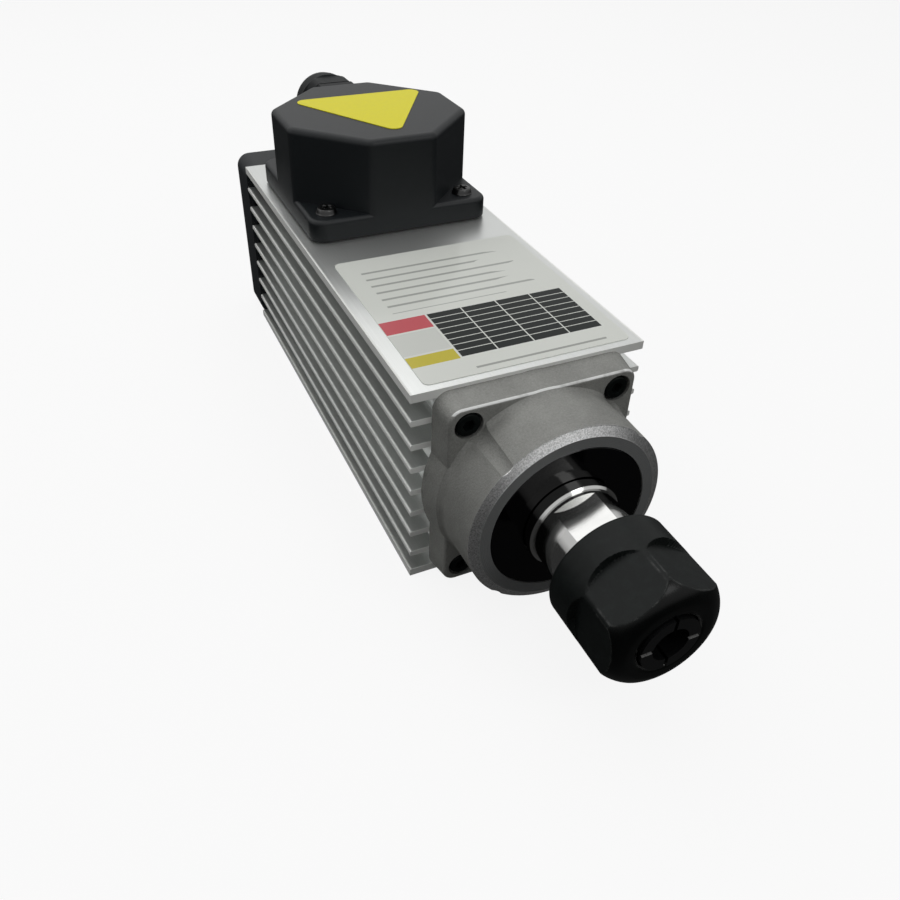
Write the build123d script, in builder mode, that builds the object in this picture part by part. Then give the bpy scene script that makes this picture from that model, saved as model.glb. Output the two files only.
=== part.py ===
"""Air-cooled square spindle motor with a collet chuck, in millimetres.

The spindle axis lies along Y and the nose points to -Y. The flat base is on z = 0 and the origin is
its centre. The terminal box stands on top and its cable gland points to +Y.
"""
import os
from math import cos, pi, radians, sin, tan

from build123d import *

# Finned body
body_width = 70.0
body_height = 65.0
body_length = 166.0
plate_thickness = 2.5
fin_thickness = 1.8
fins_per_side = 7
fin_tip_radius = 0.5
stator_depth = 5.5
barrel_wall = 2.8
rail_width = 40.0
screw_boss_radius = 5.4
lead_hole_radius = 6.0
lead_hole_y = 52.0
base_hole_spacing_x = 30.0
base_hole_spacing_y = 120.0
base_hole_radius = 2.1
base_hole_depth = 7.5

# Screws that hold the end bells, the cover and the terminal box
end_screw_spacing_x = 44.4
end_screw_inset_z = 7.5
m4_radius = 2.0
m4_core_radius = 1.65
m4_head_radius = 3.5
m4_head_height = 4.0
m4_socket_width = 3.0
screw_clearance = 0.2
head_clearance = 0.6

# Front end bell
flange_thickness = 8.0
flange_width = 58.0
flange_inset = 1.0
flange_corner_radius = 5.0
flange_round_radius = 31.7
flange_draft = 9.2
flange_edge_radius = 0.8
boss_root_radius = 30.2
boss_radius = 29.4
boss_front_radius = 29.1
boss_root_run = 2.0
nose_chamfer_start = 24.0
nose_length = 25.3
nose_face_radius = 26.4
scallop_radius = 4.8
spigot_length = 5.0
bearing_lip = 2.5

# Front bearing pair
front_bore_radius = 12.5
front_outer_radius = 21.0
front_bearing_width = 9.0
front_spacer_width = 3.0
front_ball_radius = 2.6
front_ball_count = 10

# Rear bearing
rear_bore_radius = 7.5
rear_outer_radius = 16.0
rear_bearing_width = 9.0
rear_ball_radius = 2.6
rear_ball_count = 8

ring_thickness_share = 0.3
groove_clearance = 0.08
pocket_clearance = 0.06
cage_half_thickness = 0.7
cage_half_width = 3.2

# Nose cap and slinger
cap_radius = 23.2
cap_thickness = 4.2
cap_chamfer = 0.4
slinger_radius = 13.4
slinger_chamfer = 0.6
slinger_front = 29.0
running_clearance = 0.4

# Shaft
nose_radius = 12.5
shaft_front = 62.0
rotor_seat_radius = 9.0
fan_seat_radius = 5.0
wrench_flat_width = 22.0
wrench_flat_length = 11.0
wrench_flat_gap = 1.2
wrench_flat_turn = 14.0
taper_angle = 8.0
taper_depth = 27.0
relief_radius = 6.0
relief_depth = 40.0
front_nut_width = 6.0
front_nut_radius = 16.5
front_nut_slot = 4.0
shaft_step = 1.5
thread_run_out = 1.0
shaft_shoulder_run = 4.0

# Collet
collet_front = 70.6
collet_length = 31.5
collet_major_radius = 10.4
collet_nose_length = 7.2
collet_mouth_radius = 8.2
collet_groove_width = 1.6
collet_collar_width = 1.2
collet_tip_length = 1.6
collet_collar_radius = 9.8
collet_groove_radius = 8.6
collet_bore_radius = 5.0
collet_slot = 0.9
collet_slots = 4
collet_web = 4.0
taper_clearance = 0.06

# Collet nut
nut_back = 44.2
nut_front = 70.0
nut_radius = 17.0
nut_flats_width = 30.0
nut_flat_start = 53.0
nut_cutter_radius = 13.5
nut_shoulder = 65.6
nut_dome_at = 68.2
nut_dome_radius = 15.3
nut_face_radius = 11.9
nut_mouth_radius = 8.6
nut_turn = 2.5
nut_edge = 0.6
nut_thread_clearance = 0.08
nut_cavity_radius = 11.2
nut_end_gap = 0.8
collet_seat_gap = 0.2

# Stator and rotor
core_front = -47.0
core_length = 75.0
air_gap = 0.35
rotor_radius = 15.0
slot_count = 12
slot_width = 4.6
slot_back = 3.5
slot_opening = 1.6
tooth_tip = 1.4
winding_overhang = 14.0
winding_slack = 0.25
winding_round = 0.9
winding_spread = 1.5
end_ring_length = 6.0
end_ring_wall = 4.5

# Rear end bell, fan and rear cover
rear_flange_thickness = 5.0
rear_hub_radius = 19.5
rear_lug_radius = 5.0
washer_thickness = 1.2
shaft_passage = 1.2
cover_post_radius = 5.8
circlip_width = 1.8
cover_depth = 16.5
cover_wall = 2.0
cover_corner_radius = 5.0
cover_edge_radius = 2.0
grille_inner_radius = 8.0
grille_slot = 2.6
grille_bar = 1.8
grille_rings = 4
grille_spokes = 6
grille_spoke_width = 3.0
fan_tip_gap = 5.5
fan_hub_radius = 9.0
fan_plate = 1.2
fan_width = 5.0
fan_blades = 9
fan_blade = 1.3
fan_gap = 1.2
circlip_thickness = 0.8

# Terminal box
box_width = 63.0
box_length = 62.0
box_front_y = 6.6
box_height = 31.4
box_flange_height = 7.6
box_chamfer = 20.5
box_wall = 2.2
box_roof = 2.6
box_corner_radius = 5.0
box_flange_round = 1.5
box_edge_radius = 2.0
box_wall_corner_radius = 3.5
gasket_thickness = 0.8
box_screw_inset = 7.0
pan_head_radius = 3.6
pan_head_height = 2.4
block_length = 34.0
block_width = 15.0
block_height = 12.0
block_y = 27.0
terminal_count = 4
terminal_pitch = 8.0
lead_radius = 1.1
lead_gap = 0.6
lead_bend = 4.0
block_rib = 1.4
block_step = 3.0
terminal_screw_radius = 1.8
earth_screw_x = 14.0
earth_screw_y = 50.0
earth_hole_depth = 6.0
earth_washer = 1.0

# Cable gland
gland_rise = 19.2
gland_thread_radius = 7.9
gland_flats = 22.0
gland_collar = 4.5
gland_inner_radius = 6.5
gland_nose_length = 12.0
gland_nose_radius = 9.0
gland_inside = 8.0
locknut_thickness = 3.5
locknut_flats = 18.0
locknut_radius = 9.5
seal_radius = 6.2
cable_radius = 4.0
seal_length = 12.0
dome_cap_length = 20.6
cap_gap = 0.8
cap_wall_clearance = 0.12
cap_flats_length = 8.0
o_ring_thickness = 1.0
o_ring_radius = 9.4

# Stickers
label_width = 62.5
label_length = 72.0
label_corner = 2.0
label_offset_x = 1.2
label_front_gap = 2.5
sticker_thickness = 0.2
triangle_base = 49.0
triangle_depth = 41.4
triangle_corner = 3.0
triangle_offset_x = 1.0
triangle_shift = -5.1

# Places worked out from the sizes above
axis_height = body_height / 2
front_y = -body_length / 2
rear_y = body_length / 2
stator_radius = body_height / 2 - stator_depth
slot_bottom_radius = stator_radius - slot_back
barrel_radius = stator_radius + barrel_wall
end_screw_spacing_z = body_height - 2 * end_screw_inset_z
flange_height = body_height - 2 * flange_inset
fan_radius = body_height / 2 - cover_wall - fan_tip_gap
gland_height = body_height + gland_rise
fin_pitch = (body_height - plate_thickness) / (fins_per_side + 1)
half_x = end_screw_spacing_x / 2
half_z = end_screw_spacing_z / 2
end_screw_places = [(x, z) for x in (-half_x, half_x) for z in (-half_z, half_z)]
spindle_axis = Axis((0, 0, axis_height), (0, 1, 0))
turning_plane = Plane(origin=(0, 0, axis_height), x_dir=(0, 1, 0), z_dir=(1, 0, 0))
box_rear_y = box_front_y + box_length
box_middle_y = box_front_y + box_length / 2
box_base_z = body_height + gasket_thickness
box_top_z = body_height + box_height
gland_axis = Axis((0, 0, gland_height), (0, 1, 0))
gland_turning_plane = Plane(origin=(0, 0, gland_height), x_dir=(0, 1, 0), z_dir=(1, 0, 0))
tan_taper = tan(radians(taper_angle))
major_at = collet_front - collet_nose_length
collar_front = major_at + collet_groove_width + collet_collar_width
bearing_front = 2 * front_bearing_width + front_spacer_width

os.makedirs("parts", exist_ok=True)


def ahead(distance):
    """World y of a point that far in front of the body's front face."""
    return front_y - distance


def cross_plane(y, height=axis_height):
    """Plane across the spindle, seen from the nose, with Z up; it extrudes to the front."""
    return Plane(origin=(0, y, height), x_dir=(1, 0, 0), z_dir=(0, -1, 0))


def half_section(*points):
    """Closed half section given as (y, radius) points."""
    with BuildLine() as outline:
        Polyline(*points, close=True)
    make_face(outline.line)


def octagon(width, length, chamfer, mode=Mode.ADD):
    """Rectangle with its four corners cut at 45 degrees, centred."""
    x, y = width / 2, length / 2
    with BuildLine() as outline:
        Polyline((x, y - chamfer), (x - chamfer, y), (chamfer - x, y), (-x, y - chamfer),
                 (-x, chamfer - y), (chamfer - x, -y), (x - chamfer, -y), (x, chamfer - y), close=True)
    make_face(outline.line, mode=mode)


# Extruded body: a barrel between two plates, side fins, screw channels and a solid rail top and bottom
with BuildPart() as motor_body:
    with BuildSketch(cross_plane(rear_y)):
        Circle(barrel_radius)
        for side in (-1, 1):
            with Locations((0, side * (body_height - plate_thickness) / 2)):
                Rectangle(body_width, plate_thickness)
            with Locations((0, side * (body_height / 2 - (axis_height - half_z) / 2))):
                Rectangle(rail_width, axis_height - half_z)
        with Locations(*[(0, (k - (fins_per_side - 1) / 2) * fin_pitch) for k in range(fins_per_side)]):
            RectangleRounded(body_width, fin_thickness, fin_tip_radius)
        with Locations(*end_screw_places):
            Circle(screw_boss_radius)
        Circle(stator_radius, mode=Mode.SUBTRACT)
        with Locations(*end_screw_places):
            Circle(m4_core_radius, mode=Mode.SUBTRACT)
    extrude(amount=body_length)
    with BuildSketch(Plane.XY.offset(body_height)):
        with Locations((0, lead_hole_y)):
            Circle(lead_hole_radius)
    extrude(amount=-axis_height, mode=Mode.SUBTRACT)
    box_hole_x = box_width / 2 - box_screw_inset
    box_hole_y = box_length / 2 - box_screw_inset
    with BuildSketch(Plane.XY.offset(body_height)):
        with Locations((0, box_middle_y)):
            with GridLocations(2 * box_hole_x, 2 * box_hole_y, 2, 2):
                Circle(m4_core_radius)
    extrude(amount=-plate_thickness, mode=Mode.SUBTRACT)
    with BuildSketch(Plane.XY.offset(body_height)):
        with Locations((earth_screw_x, earth_screw_y)):
            Circle(m4_core_radius)
    extrude(amount=-earth_hole_depth, mode=Mode.SUBTRACT)
    with BuildSketch(Plane.XY):
        with GridLocations(base_hole_spacing_x, base_hole_spacing_y, 2, 2):
            Circle(base_hole_radius)
    extrude(amount=base_hole_depth, mode=Mode.SUBTRACT)
motor_body.part.label = "motor_body"
export_step(motor_body.part, "parts/motor_body.step")

# Cast front end bell: drafted flange with four lugs, round boss, bearing bore and spigot
with BuildPart() as front_end_bell:
    with BuildSketch(cross_plane(front_y)):
        RectangleRounded(flange_width, flange_height, flange_corner_radius)
        Circle(flange_round_radius)
    extrude(amount=flange_thickness, taper=flange_draft)
    fillet(faces().sort_by(Axis.Y)[0].edges(), flange_edge_radius)
    with BuildSketch(turning_plane):
        with BuildLine():
            root = (ahead(flange_thickness), boss_root_radius)
            run_out = (ahead(flange_thickness + boss_root_run), boss_radius)
            Line((ahead(0), 0), (ahead(0), boss_root_radius))
            Line((ahead(0), boss_root_radius), root)
            TangentArc(run_out, root, tangent=(1, 0))
            Polyline(run_out, (ahead(nose_chamfer_start), boss_front_radius),
                     (ahead(nose_length), nose_face_radius), (ahead(nose_length), 0), (ahead(0), 0))
        make_face()
    revolve(axis=spindle_axis)
    with BuildSketch(cross_plane(front_y)):
        Circle(stator_radius)
    extrude(amount=-spigot_length)
    with BuildSketch(cross_plane(ahead(flange_thickness - m4_head_height))):
        with Locations(*end_screw_places):
            Circle(m4_head_radius + head_clearance)
    extrude(amount=m4_head_height, mode=Mode.SUBTRACT)
    with BuildSketch(cross_plane(ahead(flange_thickness))):
        with Locations(*end_screw_places):
            Circle(scallop_radius)
    extrude(amount=nose_length, mode=Mode.SUBTRACT)
    with BuildSketch(cross_plane(front_y)):
        with Locations(*end_screw_places):
            Circle(m4_radius + screw_clearance)
    extrude(amount=flange_thickness, mode=Mode.SUBTRACT)
    with BuildSketch(turning_plane):
        half_section((ahead(-spigot_length), 0), (ahead(-spigot_length), front_outer_radius - bearing_lip),
                     (ahead(0), front_outer_radius - bearing_lip), (ahead(0), front_outer_radius),
                     (ahead(bearing_front), front_outer_radius), (ahead(bearing_front), cap_radius),
                     (ahead(nose_length), cap_radius), (ahead(nose_length), 0))
    revolve(axis=spindle_axis, mode=Mode.SUBTRACT)
front_end_bell.part.label = "front_end_bell"
export_step(front_end_bell.part, "parts/front_end_bell.step")

# Black cap that closes the front bearings
with BuildPart() as front_bearing_cap:
    with BuildSketch(turning_plane):
        inner = slinger_radius + running_clearance
        half_section((ahead(bearing_front), inner + 1.5), (ahead(bearing_front), cap_radius),
                     (ahead(bearing_front + cap_thickness - cap_chamfer), cap_radius),
                     (ahead(bearing_front + cap_thickness), cap_radius - cap_chamfer),
                     (ahead(bearing_front + cap_thickness), inner), (ahead(bearing_front + 1.0), inner))
    revolve(axis=spindle_axis)
front_bearing_cap.part.label = "front_bearing_cap"
export_step(front_bearing_cap.part, "parts/front_bearing_cap.step")


def turned_about_y(y, height=axis_height):
    """Plane across the spindle, seen from the rear, with Z up; it extrudes to the rear."""
    return Plane(origin=(0, y, height), x_dir=(-1, 0, 0), z_dir=(0, 1, 0))


def socket_screws(plane, places, grip, bite):
    """Socket head screws: the head stands on the plane, the shank crosses the grip and bites behind it."""
    with BuildPart() as screws:
        for level, radius, reach in ((0, m4_head_radius, m4_head_height), (0, m4_radius, -grip),
                                     (-grip, m4_core_radius, -bite)):
            with BuildSketch(plane.offset(level)):
                with Locations(*places):
                    Circle(radius)
            extrude(amount=reach)
        with BuildSketch(plane.offset(m4_head_height)):
            with Locations(*places):
                RegularPolygon(m4_socket_width / 2, 6, major_radius=False)
        extrude(amount=-m4_head_height / 2, mode=Mode.SUBTRACT)
    return screws.part


def pan_screws(plane, places, grip, bite):
    """Pan head screws with a rounded head on the plane."""
    with BuildPart() as screws:
        with BuildSketch(plane):
            with Locations(*places):
                Circle(pan_head_radius)
        extrude(amount=pan_head_height)
        fillet(faces().sort_by(Axis.Z)[-len(places):].edges(), pan_head_height / 2)
        for level, radius, reach in ((0, m4_radius, -grip), (-grip, m4_core_radius, -bite)):
            with BuildSketch(plane.offset(level)):
                with Locations(*places):
                    Circle(radius)
            extrude(amount=reach)
    return screws.part


front_grip = flange_thickness - m4_head_height
front_screws = socket_screws(cross_plane(ahead(front_grip)), end_screw_places, front_grip, 4 * m4_radius)
with BuildPart() as front_bell_screws:
    add(front_screws)
front_bell_screws.part.label = "front_bell_screws"
export_step(front_bell_screws.part, "parts/front_bell_screws.step")


def ball_bearing(front, width, bore, outer, ball, count):
    """Sizes of a ball bearing: its middle plane, pitch radius, ring thickness and ball places."""
    middle = front + width / 2
    pitch = (bore + outer) / 2
    thickness = ring_thickness_share * (outer - bore)
    turns = [2 * pi * k / count for k in range(count)]
    places = [(pitch * cos(a), middle, axis_height + pitch * sin(a)) for a in turns]
    return middle, pitch, thickness, places


def outer_ring(front, width, bore, outer, ball):
    """Outer ring with its ball groove."""
    middle, pitch, thickness, _ = ball_bearing(front, width, bore, outer, ball, 1)
    with BuildPart() as ring:
        with BuildSketch(turning_plane):
            half_section((front, outer - thickness), (front + width, outer - thickness),
                         (front + width, outer), (front, outer))
            with Locations((middle, pitch)):
                Circle(ball + groove_clearance, mode=Mode.SUBTRACT)
        revolve(axis=spindle_axis)
    return ring.part


def inner_ring(front, width, bore, outer, ball):
    """Inner ring with its ball groove."""
    middle, pitch, thickness, _ = ball_bearing(front, width, bore, outer, ball, 1)
    with BuildPart() as ring:
        with BuildSketch(turning_plane):
            half_section((front, bore), (front + width, bore),
                         (front + width, bore + thickness), (front, bore + thickness))
            with Locations((middle, pitch)):
                Circle(ball + groove_clearance, mode=Mode.SUBTRACT)
        revolve(axis=spindle_axis)
    return ring.part


def cage(front, width, bore, outer, ball, count):
    """Cage ring with a pocket for each ball."""
    middle, pitch, _, places = ball_bearing(front, width, bore, outer, ball, count)
    pockets = [Plane(origin=place, x_dir=(0, 1, 0), z_dir=(place[0], 0, place[2] - axis_height))
               for place in places]
    with BuildPart() as ring:
        with BuildSketch(turning_plane):
            with Locations((middle, pitch)):
                Rectangle(2 * cage_half_width, 2 * cage_half_thickness)
        revolve(axis=spindle_axis)
        with BuildSketch(*pockets):
            Circle(ball + pocket_clearance)
        extrude(amount=2 * cage_half_thickness, both=True, mode=Mode.SUBTRACT)
    return ring.part


front_sizes = (front_bearing_width, front_bore_radius, front_outer_radius, front_ball_radius)
front_rows = (ahead(bearing_front), ahead(front_bearing_width))
rear_bearing_y = rear_y - rear_bearing_width
rear_sizes = (rear_bearing_width, rear_bore_radius, rear_outer_radius, rear_ball_radius)

front_outer_rings = [outer_ring(row, *front_sizes) for row in front_rows]
with BuildPart() as front_bearing_outer_rings:
    for ring in front_outer_rings:
        add(ring)
front_bearing_outer_rings.part.label = "front_bearing_outer_rings"
export_step(front_bearing_outer_rings.part, "parts/front_bearing_outer_rings.step")

front_inner_rings = [inner_ring(row, *front_sizes) for row in front_rows]
with BuildPart() as front_bearing_inner_rings:
    for ring in front_inner_rings:
        add(ring)
front_bearing_inner_rings.part.label = "front_bearing_inner_rings"
export_step(front_bearing_inner_rings.part, "parts/front_bearing_inner_rings.step")

with BuildPart() as front_bearing_balls:
    for row in front_rows:
        with Locations(*ball_bearing(row, *front_sizes, front_ball_count)[3]):
            Sphere(front_ball_radius)
front_bearing_balls.part.label = "front_bearing_balls"
export_step(front_bearing_balls.part, "parts/front_bearing_balls.step")

front_cages = [cage(row, *front_sizes, front_ball_count) for row in front_rows]
with BuildPart() as front_bearing_cages:
    for ring in front_cages:
        add(ring)
front_bearing_cages.part.label = "front_bearing_cages"
export_step(front_bearing_cages.part, "parts/front_bearing_cages.step")

front_ring_thickness = ring_thickness_share * (front_outer_radius - front_bore_radius)
spacer_front = ahead(front_bearing_width + front_spacer_width)
with BuildPart() as outer_ring_spacer:
    with BuildSketch(turning_plane):
        half_section((spacer_front, front_outer_radius - front_ring_thickness),
                     (ahead(front_bearing_width), front_outer_radius - front_ring_thickness),
                     (ahead(front_bearing_width), front_outer_radius), (spacer_front, front_outer_radius))
    revolve(axis=spindle_axis)
outer_ring_spacer.part.label = "outer_ring_spacer"
export_step(outer_ring_spacer.part, "parts/outer_ring_spacer.step")

with BuildPart() as inner_ring_spacer:
    with BuildSketch(turning_plane):
        half_section((spacer_front, front_bore_radius), (ahead(front_bearing_width), front_bore_radius),
                     (ahead(front_bearing_width), front_bore_radius + front_ring_thickness),
                     (spacer_front, front_bore_radius + front_ring_thickness))
    revolve(axis=spindle_axis)
inner_ring_spacer.part.label = "inner_ring_spacer"
export_step(inner_ring_spacer.part, "parts/inner_ring_spacer.step")

rear_outer_ring = outer_ring(rear_bearing_y, *rear_sizes)
with BuildPart() as rear_bearing_outer_ring:
    add(rear_outer_ring)
rear_bearing_outer_ring.part.label = "rear_bearing_outer_ring"
export_step(rear_bearing_outer_ring.part, "parts/rear_bearing_outer_ring.step")

rear_inner_ring = inner_ring(rear_bearing_y, *rear_sizes)
with BuildPart() as rear_bearing_inner_ring:
    add(rear_inner_ring)
rear_bearing_inner_ring.part.label = "rear_bearing_inner_ring"
export_step(rear_bearing_inner_ring.part, "parts/rear_bearing_inner_ring.step")

with BuildPart() as rear_bearing_balls:
    with Locations(*ball_bearing(rear_bearing_y, *rear_sizes, rear_ball_count)[3]):
        Sphere(rear_ball_radius)
rear_bearing_balls.part.label = "rear_bearing_balls"
export_step(rear_bearing_balls.part, "parts/rear_bearing_balls.step")

rear_cage = cage(rear_bearing_y, *rear_sizes, rear_ball_count)
with BuildPart() as rear_bearing_cage:
    add(rear_cage)
rear_bearing_cage.part.label = "rear_bearing_cage"
export_step(rear_bearing_cage.part, "parts/rear_bearing_cage.step")

# Shaft: collet nose with wrench flats, bearing seats, rotor seat and fan seat, bored for the collet
core_rear = core_front + core_length
fan_front = rear_y + rear_flange_thickness + fan_gap
shaft_rear = fan_front + fan_width + circlip_thickness + 1.0
front_nut_front = ahead(0)
front_nut_rear = ahead(-front_nut_width)
rear_shoulder = rear_bearing_y - shaft_shoulder_run
with BuildPart() as spindle_shaft:
    with BuildSketch(turning_plane):
        half_section((ahead(shaft_front), 0), (ahead(shaft_front), nose_radius - nut_edge),
                     (ahead(shaft_front - nut_edge), nose_radius), (front_nut_rear, nose_radius),
                     (front_nut_rear + thread_run_out, nose_radius),
                     (front_nut_rear + thread_run_out, rotor_seat_radius + shaft_step),
                     (core_front - end_ring_length, rotor_seat_radius + shaft_step),
                     (core_front - end_ring_length, rotor_seat_radius),
                     (rear_shoulder, rotor_seat_radius), (rear_shoulder, rear_bore_radius + 1.0),
                     (rear_bearing_y, rear_bore_radius + 1.0), (rear_bearing_y, rear_bore_radius),
                     (rear_y, rear_bore_radius), (fan_front, rear_bore_radius),
                     (fan_front, fan_seat_radius), (shaft_rear, fan_seat_radius), (shaft_rear, 0))
    revolve(axis=spindle_axis)
    mouth_radius = collet_major_radius + taper_clearance
    shaft_mouth = mouth_radius - (major_at - shaft_front) * tan_taper
    taper_end_radius = shaft_mouth - taper_depth * tan_taper
    with BuildSketch(turning_plane):
        half_section((ahead(shaft_front), 0), (ahead(shaft_front), shaft_mouth),
                     (ahead(shaft_front - taper_depth), taper_end_radius),
                     (ahead(shaft_front - taper_depth), relief_radius),
                     (ahead(shaft_front - relief_depth), relief_radius),
                     (ahead(shaft_front - relief_depth), 0))
    revolve(axis=spindle_axis, mode=Mode.SUBTRACT)
    flat_middle = slinger_front + wrench_flat_gap + wrench_flat_length / 2
    flat_plane = Plane(origin=(0, ahead(flat_middle), axis_height), x_dir=(0, 1, 0),
                       z_dir=(-sin(radians(wrench_flat_turn)), 0, cos(radians(wrench_flat_turn))))
    for side in (0, 180):
        cut_plane = flat_plane.rotated((side, 0, 0)).offset(wrench_flat_width / 2)
        with BuildSketch(cut_plane):
            RectangleRounded(wrench_flat_length, 2 * nose_radius, wrench_flat_length * 0.3)
        extrude(amount=nose_radius, mode=Mode.SUBTRACT)
spindle_shaft.part.label = "spindle_shaft"
export_step(spindle_shaft.part, "parts/spindle_shaft.step")

with BuildPart() as slinger_ring:
    with BuildSketch(turning_plane):
        half_section((ahead(bearing_front), nose_radius), (ahead(bearing_front), slinger_radius),
                     (ahead(slinger_front - slinger_chamfer), slinger_radius),
                     (ahead(slinger_front), slinger_radius - slinger_chamfer),
                     (ahead(slinger_front), nose_radius))
    revolve(axis=spindle_axis)
slinger_ring.part.label = "slinger_ring"
export_step(slinger_ring.part, "parts/slinger_ring.step")

with BuildPart() as front_bearing_nut:
    with BuildSketch(turning_plane):
        half_section((front_nut_front, nose_radius), (front_nut_front, nose_radius + front_ring_thickness),
                     (front_nut_front + 1.0, front_nut_radius), (front_nut_rear, front_nut_radius),
                     (front_nut_rear, nose_radius))
    revolve(axis=spindle_axis)
    with BuildSketch(cross_plane(front_nut_rear)):
        with PolarLocations(front_nut_radius, 4):
            Rectangle(front_nut_slot, front_nut_slot)
    extrude(amount=front_nut_width, mode=Mode.SUBTRACT)
front_bearing_nut.part.label = "front_bearing_nut"
export_step(front_bearing_nut.part, "parts/front_bearing_nut.step")

# Collet: 8 degree taper, groove and front cone, with slots cut in turn from both ends
collet_back = collet_front - collet_length
back_radius = collet_major_radius - (major_at - collet_back) * tan_taper
with BuildPart() as collet:
    with BuildSketch(turning_plane):
        half_section((ahead(collet_back), collet_bore_radius), (ahead(collet_back), back_radius),
                     (ahead(major_at), collet_major_radius), (ahead(major_at), collet_groove_radius),
                     (ahead(major_at + collet_groove_width), collet_groove_radius),
                     (ahead(major_at + collet_groove_width), collet_collar_radius),
                     (ahead(collar_front), collet_collar_radius),
                     (ahead(collet_front - collet_tip_length), collet_mouth_radius),
                     (ahead(collet_front), collet_mouth_radius), (ahead(collet_front), collet_bore_radius))
    revolve(axis=spindle_axis)
    for end, turn in ((collet_front, 0), (collet_front - collet_web, 180 / collet_slots)):
        with BuildSketch(cross_plane(ahead(end - collet_length + collet_web))):
            with PolarLocations(collet_major_radius, collet_slots, start_angle=turn):
                Rectangle(2 * collet_major_radius, collet_slot)
            Circle(collet_bore_radius / 2, mode=Mode.SUBTRACT)
        extrude(amount=collet_length - collet_web, mode=Mode.SUBTRACT)
collet.part.label = "collet"
export_step(collet.part, "parts/collet.step")

# Collet nut: round back, six milled flats, domed front and an inner cone that presses the collet
thread_radius = nose_radius + nut_thread_clearance
with BuildPart() as collet_nut:
    with BuildSketch(turning_plane):
        with BuildLine():
            dome_start = (ahead(nut_shoulder), nut_radius)
            dome_end = (ahead(nut_front), nut_face_radius)
            dome_middle = (ahead(nut_dome_at), nut_dome_radius)
            Polyline((ahead(nut_back), thread_radius), (ahead(nut_back), nut_radius - nut_edge),
                     (ahead(nut_back + nut_edge), nut_radius), dome_start)
            ThreePointArc(dome_start, dome_middle, dome_end)
            collet_gap = 2 * taper_clearance
            Polyline(dome_end, (ahead(nut_front), nut_mouth_radius + nut_edge),
                     (ahead(nut_front - nut_edge), nut_mouth_radius),
                     (ahead(collet_front - collet_tip_length), nut_mouth_radius),
                     (ahead(collar_front), collet_collar_radius + 3 * collet_gap),
                     (ahead(major_at + collet_seat_gap), collet_collar_radius + 3 * collet_gap),
                     (ahead(major_at + collet_seat_gap), nut_cavity_radius),
                     (ahead(shaft_front + nut_end_gap), nut_cavity_radius),
                     (ahead(shaft_front + nut_end_gap), thread_radius), (ahead(nut_back), thread_radius))
        make_face()
    revolve(axis=spindle_axis)
    for k in range(6):
        turn = radians(60 * k + nut_turn + 30)
        flat = Plane(origin=(-sin(turn) * nut_flats_width / 2, ahead(nut_flat_start + nut_cutter_radius),
                             axis_height + cos(turn) * nut_flats_width / 2),
                     x_dir=(0, -1, 0), z_dir=(-sin(turn), 0, cos(turn)))
        with BuildSketch(flat):
            Circle(nut_cutter_radius)
            with Locations((nut_cutter_radius, 0)):
                Rectangle(2 * nut_cutter_radius, 2 * nut_cutter_radius)
        extrude(amount=nut_radius, mode=Mode.SUBTRACT)
collet_nut.part.label = "collet_nut"
export_step(collet_nut.part, "parts/collet_nut.step")

# Stator: slotted core, with bars in the slots and an end turn ring at each end
bore_radius = rotor_radius + air_gap
with BuildPart() as stator_core:
    with BuildSketch(cross_plane(core_rear)):
        Circle(stator_radius)
        Circle(bore_radius, mode=Mode.SUBTRACT)
        slot_depth = slot_bottom_radius - bore_radius - tooth_tip
        with PolarLocations(bore_radius + tooth_tip + slot_depth / 2, slot_count):
            Rectangle(slot_depth, slot_width, mode=Mode.SUBTRACT)
        with PolarLocations(bore_radius, slot_count):
            Rectangle(3 * tooth_tip, slot_opening, mode=Mode.SUBTRACT)
    extrude(amount=core_length)
stator_core.part.label = "stator_core"
export_step(stator_core.part, "parts/stator_core.step")

with BuildPart() as stator_windings:
    with BuildSketch(cross_plane(core_rear + winding_round)):
        with PolarLocations(bore_radius + tooth_tip + slot_depth / 2, slot_count):
            Rectangle(slot_depth - 2 * winding_slack, slot_width - 2 * winding_slack)
    extrude(amount=core_length + 2 * winding_round)
    turn_inner_radius = bore_radius + tooth_tip + 3 * winding_slack
    turn_outer_radius = slot_bottom_radius + winding_spread
    with BuildSketch(turning_plane):
        with Locations(*[(y, (turn_inner_radius + turn_outer_radius) / 2)
                         for y in (core_front - winding_overhang / 2, core_rear + winding_overhang / 2)]):
            RectangleRounded(winding_overhang, turn_outer_radius - turn_inner_radius, winding_round)
    revolve(axis=spindle_axis)
stator_windings.part.label = "stator_windings"
export_step(stator_windings.part, "parts/stator_windings.step")

with BuildPart() as rotor_core:
    with BuildSketch(cross_plane(core_rear)):
        Circle(rotor_radius)
        Circle(rotor_seat_radius, mode=Mode.SUBTRACT)
    extrude(amount=core_length)
rotor_core.part.label = "rotor_core"
export_step(rotor_core.part, "parts/rotor_core.step")

with BuildPart() as rotor_end_rings:
    for start, way in ((core_rear, -1), (core_front, 1)):
        with BuildSketch(cross_plane(start)):
            Circle(rotor_radius - winding_slack)
            Circle(rotor_radius - end_ring_wall, mode=Mode.SUBTRACT)
        extrude(amount=way * end_ring_length)
rotor_end_rings.part.label = "rotor_end_rings"
export_step(rotor_end_rings.part, "parts/rotor_end_rings.step")

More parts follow.
